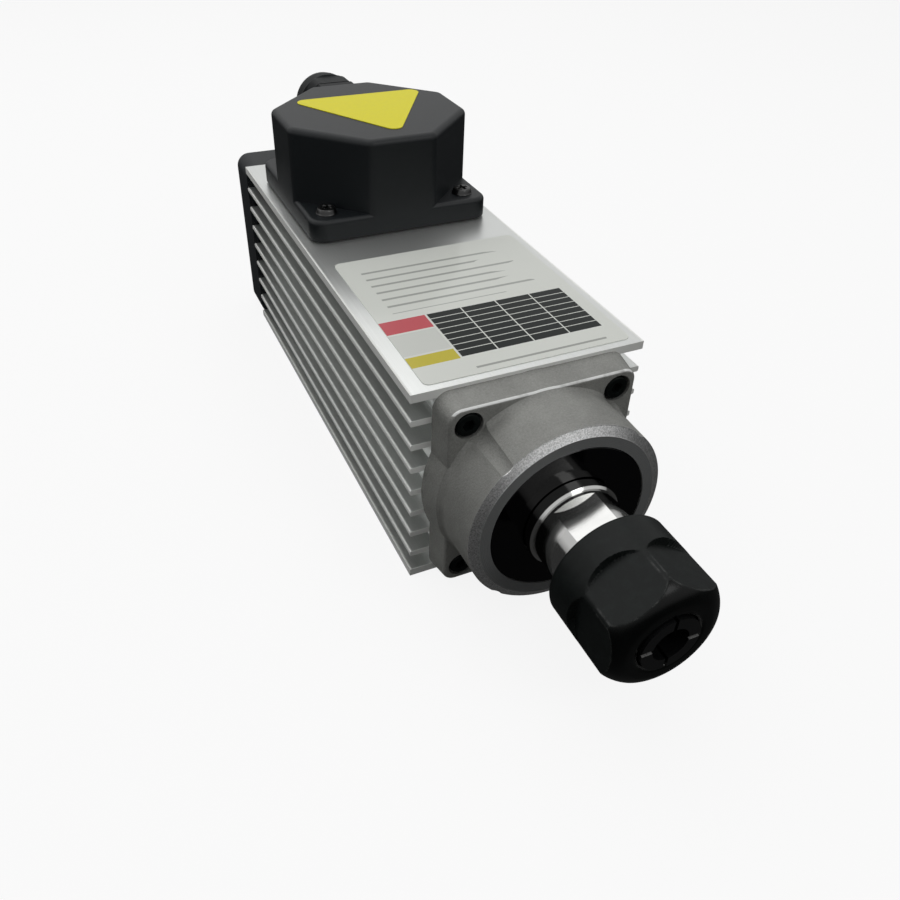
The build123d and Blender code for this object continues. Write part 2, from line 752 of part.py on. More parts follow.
# Rear end bell: lugged plate with a spigot and the rear bearing bore
hub_front = rear_bearing_y - washer_thickness - bearing_lip
with BuildPart() as rear_end_bell:
    with BuildSketch(cross_plane(rear_y)):
        RectangleRounded(end_screw_spacing_x + 2 * rear_lug_radius,
                         end_screw_spacing_z + 2 * rear_lug_radius, rear_lug_radius)
    extrude(amount=-rear_flange_thickness)
    with BuildSketch(cross_plane(rear_y)):
        Circle(stator_radius)
    extrude(amount=spigot_length)
    with BuildSketch(cross_plane(rear_y)):
        Circle(rear_hub_radius)
    extrude(amount=rear_y - hub_front)
    with BuildSketch(turning_plane):
        half_section((hub_front, 0), (hub_front, rear_outer_radius - bearing_lip),
                     (rear_bearing_y - washer_thickness, rear_outer_radius - bearing_lip),
                     (rear_bearing_y - washer_thickness, rear_outer_radius),
                     (rear_y, rear_outer_radius), (rear_y, rear_bore_radius + shaft_passage),
                     (rear_y + rear_flange_thickness, rear_bore_radius + shaft_passage),
                     (rear_y + rear_flange_thickness, 0))
    revolve(axis=spindle_axis, mode=Mode.SUBTRACT)
    with BuildSketch(cross_plane(rear_y)):
        with Locations(*end_screw_places):
            Circle(m4_radius + screw_clearance)
    extrude(amount=-rear_flange_thickness, mode=Mode.SUBTRACT)
rear_end_bell.part.label = "rear_end_bell"
export_step(rear_end_bell.part, "parts/rear_end_bell.step")

with BuildPart() as wave_washer:
    with BuildSketch(turning_plane):
        half_section((rear_bearing_y - washer_thickness, rear_outer_radius - bearing_lip),
                     (rear_bearing_y, rear_outer_radius - bearing_lip), (rear_bearing_y, rear_outer_radius),
                     (rear_bearing_y - washer_thickness, rear_outer_radius))
    revolve(axis=spindle_axis)
wave_washer.part.label = "wave_washer"
export_step(wave_washer.part, "parts/wave_washer.step")

# Rear cover: rounded cowl with corner posts and a round fan grille
cover_rear = rear_y + cover_depth
with BuildPart() as rear_cover:
    with BuildSketch(cross_plane(rear_y)):
        RectangleRounded(body_width, body_height, cover_corner_radius)
    extrude(amount=-cover_depth)
    fillet(faces().sort_by(Axis.Y)[-1].edges(), cover_edge_radius)
    with BuildSketch(cross_plane(rear_y)):
        RectangleRounded(body_width - 2 * cover_wall, body_height - 2 * cover_wall,
                         cover_corner_radius - cover_wall)
    extrude(amount=cover_wall - cover_depth, mode=Mode.SUBTRACT)
    with BuildSketch(cross_plane(rear_y + rear_flange_thickness)):
        with Locations(*end_screw_places):
            Circle(cover_post_radius)
    extrude(amount=rear_flange_thickness + cover_wall - cover_depth)
    with BuildSketch(cross_plane(cover_rear)):
        for k in reversed(range(grille_rings)):
            slot_inner = grille_inner_radius + k * (grille_slot + grille_bar)
            Circle(slot_inner + grille_slot)
            Circle(slot_inner, mode=Mode.SUBTRACT)
        with PolarLocations(0, grille_spokes // 2, angular_range=180):
            Rectangle(body_width, grille_spoke_width, mode=Mode.SUBTRACT)
    extrude(amount=cover_wall, mode=Mode.SUBTRACT)
    with BuildSketch(cross_plane(rear_y)):
        with Locations(*end_screw_places):
            Circle(m4_radius + screw_clearance)
    extrude(amount=-cover_depth, mode=Mode.SUBTRACT)
    with BuildSketch(cross_plane(cover_rear)):
        with Locations(*end_screw_places):
            Circle(m4_head_radius + head_clearance / 2)
    extrude(amount=m4_head_height, mode=Mode.SUBTRACT)
rear_cover.part.label = "rear_cover"
export_step(rear_cover.part, "parts/rear_cover.step")

rear_screws = socket_screws(turned_about_y(cover_rear - m4_head_height), end_screw_places,
                            cover_depth - m4_head_height, 4 * m4_radius)
with BuildPart() as rear_cover_screws:
    add(rear_screws)
rear_cover_screws.part.label = "rear_cover_screws"
export_step(rear_cover_screws.part, "parts/rear_cover_screws.step")

# Cooling fan: plate, hub and radial blades, held on the shaft by a circlip
with BuildPart() as cooling_fan:
    with BuildSketch(turned_about_y(fan_front)):
        Circle(fan_radius)
        Circle(fan_seat_radius, mode=Mode.SUBTRACT)
    extrude(amount=fan_plate)
    with BuildSketch(turned_about_y(fan_front)):
        Circle(fan_hub_radius)
        Circle(fan_seat_radius, mode=Mode.SUBTRACT)
    extrude(amount=fan_width)
    with BuildSketch(turned_about_y(fan_front)):
        blade_length = fan_radius - fan_hub_radius
        with PolarLocations(fan_hub_radius + blade_length / 2, fan_blades):
            Rectangle(blade_length + fan_blade, fan_blade)
    extrude(amount=fan_width - fan_blade)
cooling_fan.part.label = "cooling_fan"
export_step(cooling_fan.part, "parts/cooling_fan.step")

with BuildPart() as fan_circlip:
    with BuildSketch(turned_about_y(fan_front + fan_width)):
        Circle(fan_seat_radius + circlip_width)
        Circle(fan_seat_radius, mode=Mode.SUBTRACT)
        with Locations((fan_seat_radius + circlip_width / 2, 0)):
            Rectangle(circlip_width * 2, circlip_width, mode=Mode.SUBTRACT)
    extrude(amount=circlip_thickness)
fan_circlip.part.label = "fan_circlip"
export_step(fan_circlip.part, "parts/fan_circlip.step")

# Terminal box cover: octagonal box on a rectangular base flange with a screw in each ear
box_ear_places = [(x, y) for x in (-box_hole_x, box_hole_x) for y in (-box_hole_y, box_hole_y)]
box_base_plane = Plane(origin=(0, box_middle_y, box_base_z))
with BuildPart() as terminal_box_cover:
    with BuildSketch(box_base_plane):
        RectangleRounded(box_width, box_length, box_corner_radius)
    extrude(amount=box_flange_height - gasket_thickness)
    fillet(faces().sort_by(Axis.Z)[-1].edges(), box_flange_round)
    with BuildSketch(box_base_plane):
        octagon(box_width, box_length, box_chamfer)
        fillet(vertices(), box_wall_corner_radius)
    extrude(amount=box_top_z - box_base_z)
    fillet(faces().sort_by(Axis.Z)[-1].edges(), box_edge_radius)
    with BuildSketch(box_base_plane):
        octagon(box_width - 2 * box_wall, box_length - 2 * box_wall,
                box_chamfer - box_wall * (2 - 2 ** 0.5))
    extrude(amount=box_top_z - box_base_z - box_roof, mode=Mode.SUBTRACT)
    with BuildSketch(box_base_plane):
        with Locations(*box_ear_places):
            Circle(m4_radius + screw_clearance)
    extrude(amount=box_flange_height, mode=Mode.SUBTRACT)
    with BuildSketch(turned_about_y(box_rear_y - 2 * box_wall, gland_height)):
        Circle(gland_thread_radius + screw_clearance / 2)
    extrude(amount=3 * box_wall, mode=Mode.SUBTRACT)
terminal_box_cover.part.label = "terminal_box_cover"
export_step(terminal_box_cover.part, "parts/terminal_box_cover.step")

with BuildPart() as terminal_box_gasket:
    with BuildSketch(Plane(origin=(0, box_middle_y, body_height))):
        RectangleRounded(box_width - box_wall, box_length - box_wall, box_corner_radius)
        octagon(box_width - 4 * box_wall, box_length - 4 * box_wall,
                box_chamfer - 2 * box_wall * (2 - 2 ** 0.5), mode=Mode.SUBTRACT)
        with Locations(*box_ear_places):
            Circle(m4_radius + screw_clearance, mode=Mode.SUBTRACT)
    extrude(amount=gasket_thickness)
terminal_box_gasket.part.label = "terminal_box_gasket"
export_step(terminal_box_gasket.part, "parts/terminal_box_gasket.step")

box_screws = pan_screws(Plane(origin=(0, box_middle_y, body_height + box_flange_height)), box_ear_places,
                        box_flange_height, plate_thickness)
with BuildPart() as terminal_box_screws:
    add(box_screws)
terminal_box_screws.part.label = "terminal_box_screws"
export_step(terminal_box_screws.part, "parts/terminal_box_screws.step")

# Terminal block on the body inside the box, its screws, the earth screw and the three motor leads
with BuildPart() as terminal_block:
    with BuildSketch(Plane(origin=(0, block_y, body_height))):
        Rectangle(block_length, block_width)
    extrude(amount=block_height)
    with BuildSketch(Plane(origin=(0, block_y, body_height + block_height))):
        with GridLocations(terminal_pitch, 1, terminal_count, 1):
            Rectangle(terminal_pitch - block_rib, block_width)
    extrude(amount=-block_step, mode=Mode.SUBTRACT)
terminal_block.part.label = "terminal_block"
export_step(terminal_block.part, "parts/terminal_block.step")

with BuildPart() as terminal_screws:
    with BuildSketch(Plane(origin=(0, block_y, body_height + block_height - block_step))):
        with GridLocations(terminal_pitch, block_width / 2, terminal_count, 2):
            Circle(terminal_screw_radius)
    extrude(amount=block_step - 0.6)
terminal_screws.part.label = "terminal_screws"
export_step(terminal_screws.part, "parts/terminal_screws.step")

earth = pan_screws(Plane(origin=(earth_screw_x, earth_screw_y, body_height + earth_washer)), [(0, 0)],
                   earth_washer, earth_hole_depth - m4_core_radius)
with BuildPart() as earth_screw:
    add(earth)
earth_screw.part.label = "earth_screw"
export_step(earth_screw.part, "parts/earth_screw.step")

winding_end_y = core_rear + winding_overhang
lead_low_z = axis_height + slot_bottom_radius - 2 * lead_radius
lead_high_z = body_height + block_height / 2
with BuildPart() as motor_leads:
    for k in (-1, 0, 1):
        x = k * (2 * lead_radius + lead_gap)
        with BuildLine() as route:
            FilletPolyline((x, winding_end_y, lead_low_z), (x, lead_hole_y, lead_low_z),
                           (x, lead_hole_y, lead_high_z), (x, block_y + block_width / 2, lead_high_z),
                           radius=lead_bend)
        with BuildSketch(Plane(origin=route.wire() @ 0, z_dir=route.wire() % 0)):
            Circle(lead_radius)
        sweep(path=route.wire())
motor_leads.part.label = "motor_leads"
export_step(motor_leads.part, "parts/motor_leads.step")

# Cable gland on the rear wall: O-ring, body with collar and nose, locknut, seal and dome cap
collar_front_y = box_rear_y + o_ring_thickness
collar_rear_y = collar_front_y + gland_collar
nose_rear_y = collar_rear_y + gland_nose_length
with BuildPart() as gland_o_ring:
    with BuildSketch(turned_about_y(box_rear_y, gland_height)):
        Circle(o_ring_radius)
        Circle(gland_thread_radius, mode=Mode.SUBTRACT)
    extrude(amount=o_ring_thickness)
gland_o_ring.part.label = "gland_o_ring"
export_step(gland_o_ring.part, "parts/gland_o_ring.step")

with BuildPart() as gland_body:
    with BuildSketch(turned_about_y(collar_front_y, gland_height)):
        RegularPolygon(gland_flats / 2, 6, major_radius=False)
    extrude(amount=gland_collar)
    with BuildSketch(gland_turning_plane):
        half_section((box_rear_y - gland_inside, 0), (box_rear_y - gland_inside, gland_thread_radius),
                     (collar_front_y, gland_thread_radius), (collar_front_y, gland_nose_radius),
                     (nose_rear_y, gland_nose_radius), (nose_rear_y, 0))
    revolve(axis=gland_axis)
    with BuildSketch(gland_turning_plane):
        half_section((box_rear_y - gland_inside, 0), (box_rear_y - gland_inside, gland_inner_radius - 1.0),
                     (collar_rear_y, gland_inner_radius - 1.0), (collar_rear_y, gland_inner_radius),
                     (nose_rear_y, gland_inner_radius), (nose_rear_y, 0))
    revolve(axis=gland_axis, mode=Mode.SUBTRACT)
gland_body.part.label = "gland_body"
export_step(gland_body.part, "parts/gland_body.step")

with BuildPart() as gland_locknut:
    with BuildSketch(turned_about_y(box_rear_y - box_wall, gland_height)):
        RegularPolygon(locknut_flats / 2, 6, major_radius=False)
        Circle(locknut_radius, mode=Mode.INTERSECT)
        Circle(gland_thread_radius, mode=Mode.SUBTRACT)
    extrude(amount=-locknut_thickness)
gland_locknut.part.label = "gland_locknut"
export_step(gland_locknut.part, "parts/gland_locknut.step")

seal_front_y = collar_rear_y + cap_gap
seal_rear_y = seal_front_y + seal_length
with BuildPart() as gland_seal:
    with BuildSketch(gland_turning_plane):
        half_section((seal_front_y, cable_radius), (seal_front_y, seal_radius),
                     (seal_rear_y - 1.0, seal_radius), (seal_rear_y, seal_radius - 1.0),
                     (seal_rear_y, cable_radius))
    revolve(axis=gland_axis)
gland_seal.part.label = "gland_seal"
export_step(gland_seal.part, "parts/gland_seal.step")

cap_front_y = collar_rear_y + cap_gap
cap_rear_y = cap_front_y + dome_cap_length
with BuildPart() as gland_cap:
    with BuildSketch(turned_about_y(cap_front_y, gland_height)):
        RegularPolygon(gland_flats / 2, 6, major_radius=False)
    extrude(amount=cap_flats_length)
    with BuildSketch(gland_turning_plane):
        with BuildLine():
            dome_start = (cap_front_y + cap_flats_length - 1.0, gland_flats / 2 + 0.6)
            dome_end = (cap_rear_y, cable_radius + 3.0)
            dome_middle = (cap_rear_y - 3.2, gland_flats / 2 - 1.1)
            Polyline((cap_front_y, 0), (cap_front_y, gland_flats / 2 - 0.2), dome_start)
            ThreePointArc(dome_start, dome_middle, dome_end)
            Polyline(dome_end, (cap_rear_y, 0), (cap_front_y, 0))
        make_face()
    revolve(axis=gland_axis)
    with BuildSketch(gland_turning_plane):
        cap_bore = gland_nose_radius + cap_wall_clearance
        half_section((cap_front_y, 0), (cap_front_y, cap_bore), (nose_rear_y + 0.6, cap_bore),
                     (nose_rear_y + 2.2, cable_radius + 1.0), (cap_rear_y - 1.5, cable_radius + 0.6),
                     (cap_rear_y, cable_radius + 0.6), (cap_rear_y, 0))
    revolve(axis=gland_axis, mode=Mode.SUBTRACT)
gland_cap.part.label = "gland_cap"
export_step(gland_cap.part, "parts/gland_cap.step")

# Stickers: the blank rating plate on the body and the blank triangle on the box
with BuildPart() as rating_label:
    label_y = front_y + label_front_gap + label_length / 2
    with BuildSketch(Plane(origin=(label_offset_x, label_y, body_height))):
        RectangleRounded(label_width, label_length, label_corner)
    extrude(amount=sticker_thickness)
rating_label.part.label = "rating_label"
export_step(rating_label.part, "parts/rating_label.step")

with BuildPart() as box_sticker:
    with BuildSketch(Plane(origin=(triangle_offset_x, box_middle_y, box_top_z))):
        with BuildLine():
            back = triangle_shift + triangle_depth / 2
            Polyline((-triangle_base / 2, back), (triangle_base / 2, back),
                     (0, back - triangle_depth), close=True)
        make_face()
        fillet(vertices(), triangle_corner)
    extrude(amount=sticker_thickness)
box_sticker.part.label = "box_sticker"
export_step(box_sticker.part, "parts/box_sticker.step")
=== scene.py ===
"""Looks of the air-cooled square motor spindle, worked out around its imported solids.

Everything is in metres in the frame of the solids: the nose points to -Y, the flat base lies on z = 0
and the terminal box stands on top.
"""
import math

import bpy
import numpy as np
from mathutils import Matrix, Vector


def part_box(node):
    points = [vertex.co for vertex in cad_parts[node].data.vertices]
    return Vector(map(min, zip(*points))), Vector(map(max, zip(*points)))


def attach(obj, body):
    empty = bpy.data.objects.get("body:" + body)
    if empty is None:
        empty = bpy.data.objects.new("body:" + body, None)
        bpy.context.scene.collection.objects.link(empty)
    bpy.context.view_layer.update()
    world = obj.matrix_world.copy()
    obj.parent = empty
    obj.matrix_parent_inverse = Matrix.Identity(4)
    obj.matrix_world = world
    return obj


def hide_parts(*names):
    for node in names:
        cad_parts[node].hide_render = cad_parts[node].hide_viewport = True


bl_info = {
    "name": "Motor Spindle Finish",
    "version": (1, 0, 0),
    "blender": (4, 5, 0),
    "location": "View3D > Sidebar > Spindle",
    "description": "Finishes, fasteners and studio for a square air-cooled motor spindle",
    "category": "Object",
}

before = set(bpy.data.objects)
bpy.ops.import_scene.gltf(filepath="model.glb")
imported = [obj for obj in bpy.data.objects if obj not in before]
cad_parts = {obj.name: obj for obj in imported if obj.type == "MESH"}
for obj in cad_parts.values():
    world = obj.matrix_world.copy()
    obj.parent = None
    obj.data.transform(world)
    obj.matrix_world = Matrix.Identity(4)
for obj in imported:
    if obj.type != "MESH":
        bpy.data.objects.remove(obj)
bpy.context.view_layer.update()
MM = 0.001
SHARP_EDGE = math.radians(40.0)     # faces that meet at a wider angle show an edge


# ---------------------------------------------------------------- sizes and colours a user may change

def length(name, description, default):
    """A length or a place, in metres."""
    return bpy.props.FloatProperty(name=name, description=description, default=default, unit="LENGTH",
                                   precision=5)


def colour(name, description, default):
    """A colour in linear tones from 0 to 1."""
    return bpy.props.FloatVectorProperty(name=name, description=description, default=default,
                                         subtype="COLOR", size=3, min=0.0, max=1.0)


def share(name, description, default):
    """A share of something, from 0 to 1."""
    return bpy.props.FloatProperty(name=name, description=description, default=default, min=0.0, max=1.0,
                                   subtype="FACTOR")


def brightness(name, description, default):
    """The strength of a light, from 0 up."""
    return bpy.props.FloatProperty(name=name, description=description, default=default, min=0.0)


class SpindleSizes(bpy.types.PropertyGroup):
    axis_height: length("Axis height", "Height of the spindle axis over the base", 32.5 * MM)
    body_front: length("Body front", "Place of the body's front face along Y", -83.0 * MM)
    nut_back: length("Nut back", "Distance from the body's front face to the nut's back", 44.2 * MM)
    nut_front: length("Nut front", "Distance from the body's front face to the nut's face", 70.0 * MM)
    nut_radius: length("Nut radius", "Radius of the nut's round skirt", 17.0 * MM)
    nut_flats: length("Nut flats", "Width across the nut's flats", 30.0 * MM)
    nut_flat_start: length("Flat start", "Where the flats start in their middle", 53.0 * MM)
    nut_cutter: length("Cutter radius", "Radius of the cutter that milled the flats", 13.5 * MM)
    nut_shoulder: length("Nut shoulder", "Where the domed front starts", 65.6 * MM)
    nut_dome_place: length("Dome middle", "Where the dome has its middle radius", 68.2 * MM)
    nut_dome_radius: length("Dome radius", "Radius of the dome at its middle", 15.3 * MM)
    nut_face: length("Nut face", "Radius of the nut's flat face", 11.9 * MM)
    nut_turn: bpy.props.FloatProperty(name="Nut turn", description="How far the nut is turned",
                                      default=math.radians(2.5), subtype="ANGLE")
    edge_softness: length("Edge softness", "Rounding of the nut's machined edges", 0.16 * MM)
    knurl_depth: length("Knurl depth", "Depth of the grooves round a socket screw's head", 0.09 * MM)
    cross_depth: length("Cross depth", "Depth of the cross in the box screws", 1.3 * MM)
    gland_flats: length("Gland flats", "Width across the flats of the gland's dome cap", 22.0 * MM)
    gland_hex_length: length("Gland hexagon", "Length of the dome cap's hexagon", 8.0 * MM)


class SpindleColours(bpy.types.PropertyGroup):
    body: colour("Body", "Blasted aluminium of the finned body", (0.68, 0.695, 0.68))
    cast: colour("Casting", "Cast aluminium of the end bells", (0.27, 0.272, 0.257))
    machined: colour("Chamfer", "Blasted chamfer of the casting", (0.93, 0.94, 0.93))
    seat: colour("Seat face", "Turned face round the bearing cap", (0.20, 0.205, 0.205))
    steel: colour("Ground steel", "Shaft, slinger and collet", (0.56, 0.56, 0.55))
    black_oxide: colour("Black oxide", "Nut and socket screws", (0.0035, 0.0048, 0.0045))
    enamel: colour("Enamel", "Glossy cap in front of the bearings", (0.001, 0.001, 0.0014))
    plastic: colour("Black plastic", "Terminal box, rear cover and gland", (0.005, 0.0072, 0.0088))
    label: colour("Label", "White label film", (0.79, 0.81, 0.76))
    label_ink: colour("Label ink", "Dark fields and lines of the label", (0.008, 0.012, 0.011))
    sticker: colour("Sticker", "Yellow film of the triangular sticker", (0.88, 0.80, 0.008))
    red_bar: colour("Red bar", "Red bar on the label", (0.60, 0.10, 0.12))
    yellow_bar: colour("Yellow bar", "Yellow bar on the label", (0.62, 0.53, 0.06))
    copper: colour("Copper", "Winding wire", (0.55, 0.20, 0.07))


class SpindleStage(bpy.types.PropertyGroup):
    lens: bpy.props.FloatProperty(name="Lens", description="Focal length on a 36 mm sensor",
                                  default=33.62, unit="CAMERA")
    world_light: brightness("World light", "Strength of the even light", 0.28)
    world_mirrored: share("Surroundings in reflections", "How white the upper surroundings show in gloss",
                          0.78)
    key_light: brightness("Key light", "Power of the overhead soft box in watts", 3.0)
    left_share: share("Left light", "Power of the left soft box as a share of the key light", 0.1)
    front_share: share("Front light", "Power of the front soft box as a share of the key light", 0.30)
    backdrop_tone: share("Backdrop tone", "How white the surroundings show to the camera", 0.94)
    floor_tone: share("Floor tone", "How much of the floor is plain white to the camera, and takes no shadow",
                      0.88)
    floor_mirrored: share("Floor in reflections", "How white the floor shows in gloss", 0.045)
    floor_paint: share("Floor paint", "Tone of the floor's paint, which lights the object from below", 0.12)


# ---------------------------------------------------------------- shader expressions

class Value:
    """A socket of a shader. Sums, products and comparisons of it add Math nodes."""

    def __init__(self, finish, socket):
        self.finish, self.socket = finish, socket

    def math(self, operation, *others, clamp=False):
        inputs = {0: self}
        inputs.update({k + 1: other for k, other in enumerate(others)})
        return self.finish.node("ShaderNodeMath", {"operation": operation, "use_clamp": clamp}, inputs)

    def __add__(self, other):
        return self.math("ADD", other)

    def __sub__(self, other):
        return self.math("SUBTRACT", other)

    def __mul__(self, other):
        return self.math("MULTIPLY", other)

    def __truediv__(self, other):
        return self.math("DIVIDE", other)

    def __rsub__(self, other):
        return self.finish.value(other).math("SUBTRACT", self)

    def __rtruediv__(self, other):
        return self.finish.value(other).math("DIVIDE", self)

    __radd__, __rmul__ = __add__, __mul__

    def __neg__(self):
        return self * -1.0

    def __abs__(self):
        return self.math("ABSOLUTE")

    def sine(self):
        return self.math("SINE")

    def root(self):
        return self.math("SQRT")

    def fraction(self):
        return self.math("FRACT")

    def larger(self, other):
        return self.math("MAXIMUM", other)

    def step(self, low, high):
        """0 below low, 1 above high and a straight ramp between them."""
        return ((self - low) / (high - low)).math("ADD", 0.0, clamp=True)

    def band(self, low, high, soft):
        """1 between low and high, fading to 0 over soft on each side."""
        return self.step(low - soft, low) * (1.0 - self.step(high, high + soft))


class Finish:
    """A material, or the world. Expressions add its Math nodes, and one method adds every other node."""

    def __init__(self, name, kind="materials"):
        self.material = getattr(bpy.data, kind).new(name)
        self.material.use_nodes = True
        self.tree = self.material.node_tree
        self.tree.nodes.clear()

    def node(self, kind, settings, inputs, output=0):
        """Adds a node: its settings first, then the values or links of its sockets. Gives the named
        output, or a list of them where several are named."""
        made = self.tree.nodes.new(kind)
        for key, setting in settings.items():
            setattr(made, key, setting)
        for key, given in inputs.items():
            if isinstance(given, Value):
                self.tree.links.new(given.socket, made.inputs[key])
            else:
                made.inputs[key].default_value = given
        if isinstance(output, (list, tuple)):
            return [Value(self, made.outputs[key]) for key in output]
        return Value(self, made.outputs[output]) if made.outputs else None

    def value(self, number):
        return number if isinstance(number, Value) else self.node(
            "ShaderNodeMath", {"operation": "ADD"}, {0: float(number), 1: 0.0})

    def place(self, scale=(1000.0, 1000.0, 1000.0)):
        """Object coordinates in millimetres, stretched by the given scale."""
        where = self.node("ShaderNodeTexCoord", {}, {}, output="Object")
        return self.node("ShaderNodeVectorMath", {"operation": "MULTIPLY"}, {0: where, 1: scale})

    def parts(self, vector):
        return self.node("ShaderNodeSeparateXYZ", {}, {0: vector}, output=(0, 1, 2))

    def noise(self, vector, scale, detail=3.0, roughness=0.55):
        return self.node("ShaderNodeTexNoise", {}, {"Vector": vector, "Scale": scale, "Detail": detail,
                                                     "Roughness": roughness}, output="Fac")

    def mix(self, mask, first, second):
        """The first colour where the mask is 0 and the second where it is 1."""
        first, second = (tone if isinstance(tone, Value) else (*tone[:3], 1.0) for tone in (first, second))
        return self.node("ShaderNodeMix", {"data_type": "RGBA"}, {0: mask, 6: first, 7: second}, output=2)

    def shades(self, mask, tone, low, high=1.0):
        """The tone times low where the mask is 0 and times high where it is 1."""
        return self.mix(mask, scaled(tone, low), scaled(tone, high))

    def bump(self, height, depth, strength):
        """Normal of a height from 0 to 1 that is depth millimetres deep."""
        return self.node("ShaderNodeBump", {}, {"Height": height, "Distance": depth * MM,
                                                 "Strength": strength}, output="Normal")

    def surface(self, **sockets):
        """The finished shader: Principled BSDF with the given sockets, and its output."""
        named = {key.replace("_", " ").title().replace("Ior", "IOR"): given for key, given in sockets.items()}
        if "Base Color" in named and not isinstance(named["Base Color"], Value):
            named["Base Color"] = (*named["Base Color"][:3], 1.0)
        return self.shown(self.node("ShaderNodeBsdfPrincipled", {}, named, output="BSDF"))

    def shown(self, shader):
        """Links the finished shader to the output and gives the material."""
        self.node("ShaderNodeOutputMaterial", {}, {"Surface": shader})
        return self.material


def scaled(tone, factor):
    """A colour made lighter or darker by a factor, at most 1."""
    return [min(1.0, c * factor) for c in tone]


# ---------------------------------------------------------------- surfaces

def smooth_least(first, second, softness):
    """The smaller of two arrays, with the edge between them rounded over the softness."""
    gap = np.clip(0.5 + (second - first) / (2 * softness), 0, 1)
    return second * (1 - gap) + first * gap - softness * gap * (1 - gap)


def smooth_step(low, high, where):
    """0 below low and 1 above high, with the cubic blend 3t^2 - 2t^3 between them."""
    t = np.clip((where - low) / (high - low), 0, 1)
    return t * t * (3 - 2 * t)


def dense(points, spacing):
    """Points along a broken line, no further apart than the spacing, with every corner kept."""
    points = np.asarray(points, float)
    runs = np.maximum(1, np.ceil(np.hypot(*np.diff(points, axis=0).T) / spacing).astype(int))
    pieces = [points[k] + np.outer(np.arange(n) / n, points[k + 1] - points[k]) for k, n in enumerate(runs)]
    return np.vstack(pieces + [points[-1:]])


def skin(name, grids, poles=False, ring=False):
    """Mesh of one or more grids of points (rows, columns, 3). Columns close on themselves. Rows do so for a
    ring, and where there are poles the first and last row are each one point."""
    points, faces, start = [], [], 0
    for grid in grids:
        rows, columns = grid.shape[:2]
        index = start + np.arange(rows * columns).reshape(rows, columns)
        if poles:
            index = np.maximum(index - (columns - 1), start)
            index[-1] = index[-1, 0]
            grid = np.vstack([grid[:1, 0], grid[1:-1].reshape(-1, 3), grid[-1:, 0]])
        lower, upper = (index, np.roll(index, -1, axis=0)) if ring else (index[:-1], index[1:])
        cells = np.stack([lower, np.roll(lower, -1, axis=1), np.roll(upper, -1, axis=1), upper], axis=-1)
        if poles:
            faces += cells[0][:, 1:].tolist() + cells[-1][:, :3].tolist()
            cells = cells[1:-1]
        faces += cells.reshape(-1, 4).tolist()
        points.append(grid.reshape(-1, 3))
        start += len(points[-1])
    mesh = bpy.data.meshes.new(name)
    mesh.from_pydata(np.vstack(points).tolist(), [], faces)
    mesh.polygons.foreach_set("use_smooth", np.ones(len(mesh.polygons), bool))
    mesh.update()
    return mesh


def placed(name, data):
    """A new object in the scene, with the given data."""
    made = bpy.data.objects.new(name, data)
    bpy.context.scene.collection.objects.link(made)
    return made


def piece(name, mesh, material, body, nodes):
    """Puts a finished mesh into the scene, on its body and in place of its CAD nodes."""
    made = placed(name, mesh)
    mesh.materials.append(material)
    mesh.set_sharp_from_angle(angle=SHARP_EDGE)
    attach(made, body)
    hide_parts(*nodes)


def dress(nodes, material):
    """Gives CAD nodes their material."""
    for name in nodes:
        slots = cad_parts[name].data.materials
        slots.clear()
        slots.append(material)


# ---------------------------------------------------------------- finishes
# The places of a mask are in millimetres, and so is the depth of a bump.

def blasted_aluminium(tones):
    """Extruded aluminium, blasted and clear anodised, with faint draw lines along the body. The tips of the
    fins and the sawn front end are duller."""
    finish = Finish("blasted_aluminium")
    x, y, _ = finish.parts(finish.place())
    fin_tips, front_end = abs(x).step(34.35, 34.6), (-y).step(82.8, 82.95)
    cut, cut_tone = fin_tips.larger(front_end), (0.86, 0.87, 0.84)
    grain = finish.noise(finish.place(), 3.2, detail=4.0)
    draw = finish.noise(finish.place((2600.0, 16.0, 2600.0)), 1.0, detail=2.0)
    cloud = finish.noise(finish.place(), 0.045, detail=2.0)
    uneven = (grain * 0.35 + draw * 0.35 + cloud * 0.3).step(0.35, 0.65)
    tone = finish.mix(cut, finish.shades(uneven, tones.body, 0.93, 1.05), cut_tone)
    return finish.surface(base_color=tone, metallic=0.8 - cut * 0.7, specular_ior_level=0.3,
                          roughness=grain * 0.1 + 0.26 + cut * 0.3,
                          normal=finish.bump(grain * 0.6 + draw * 0.4, 0.04, 0.6))


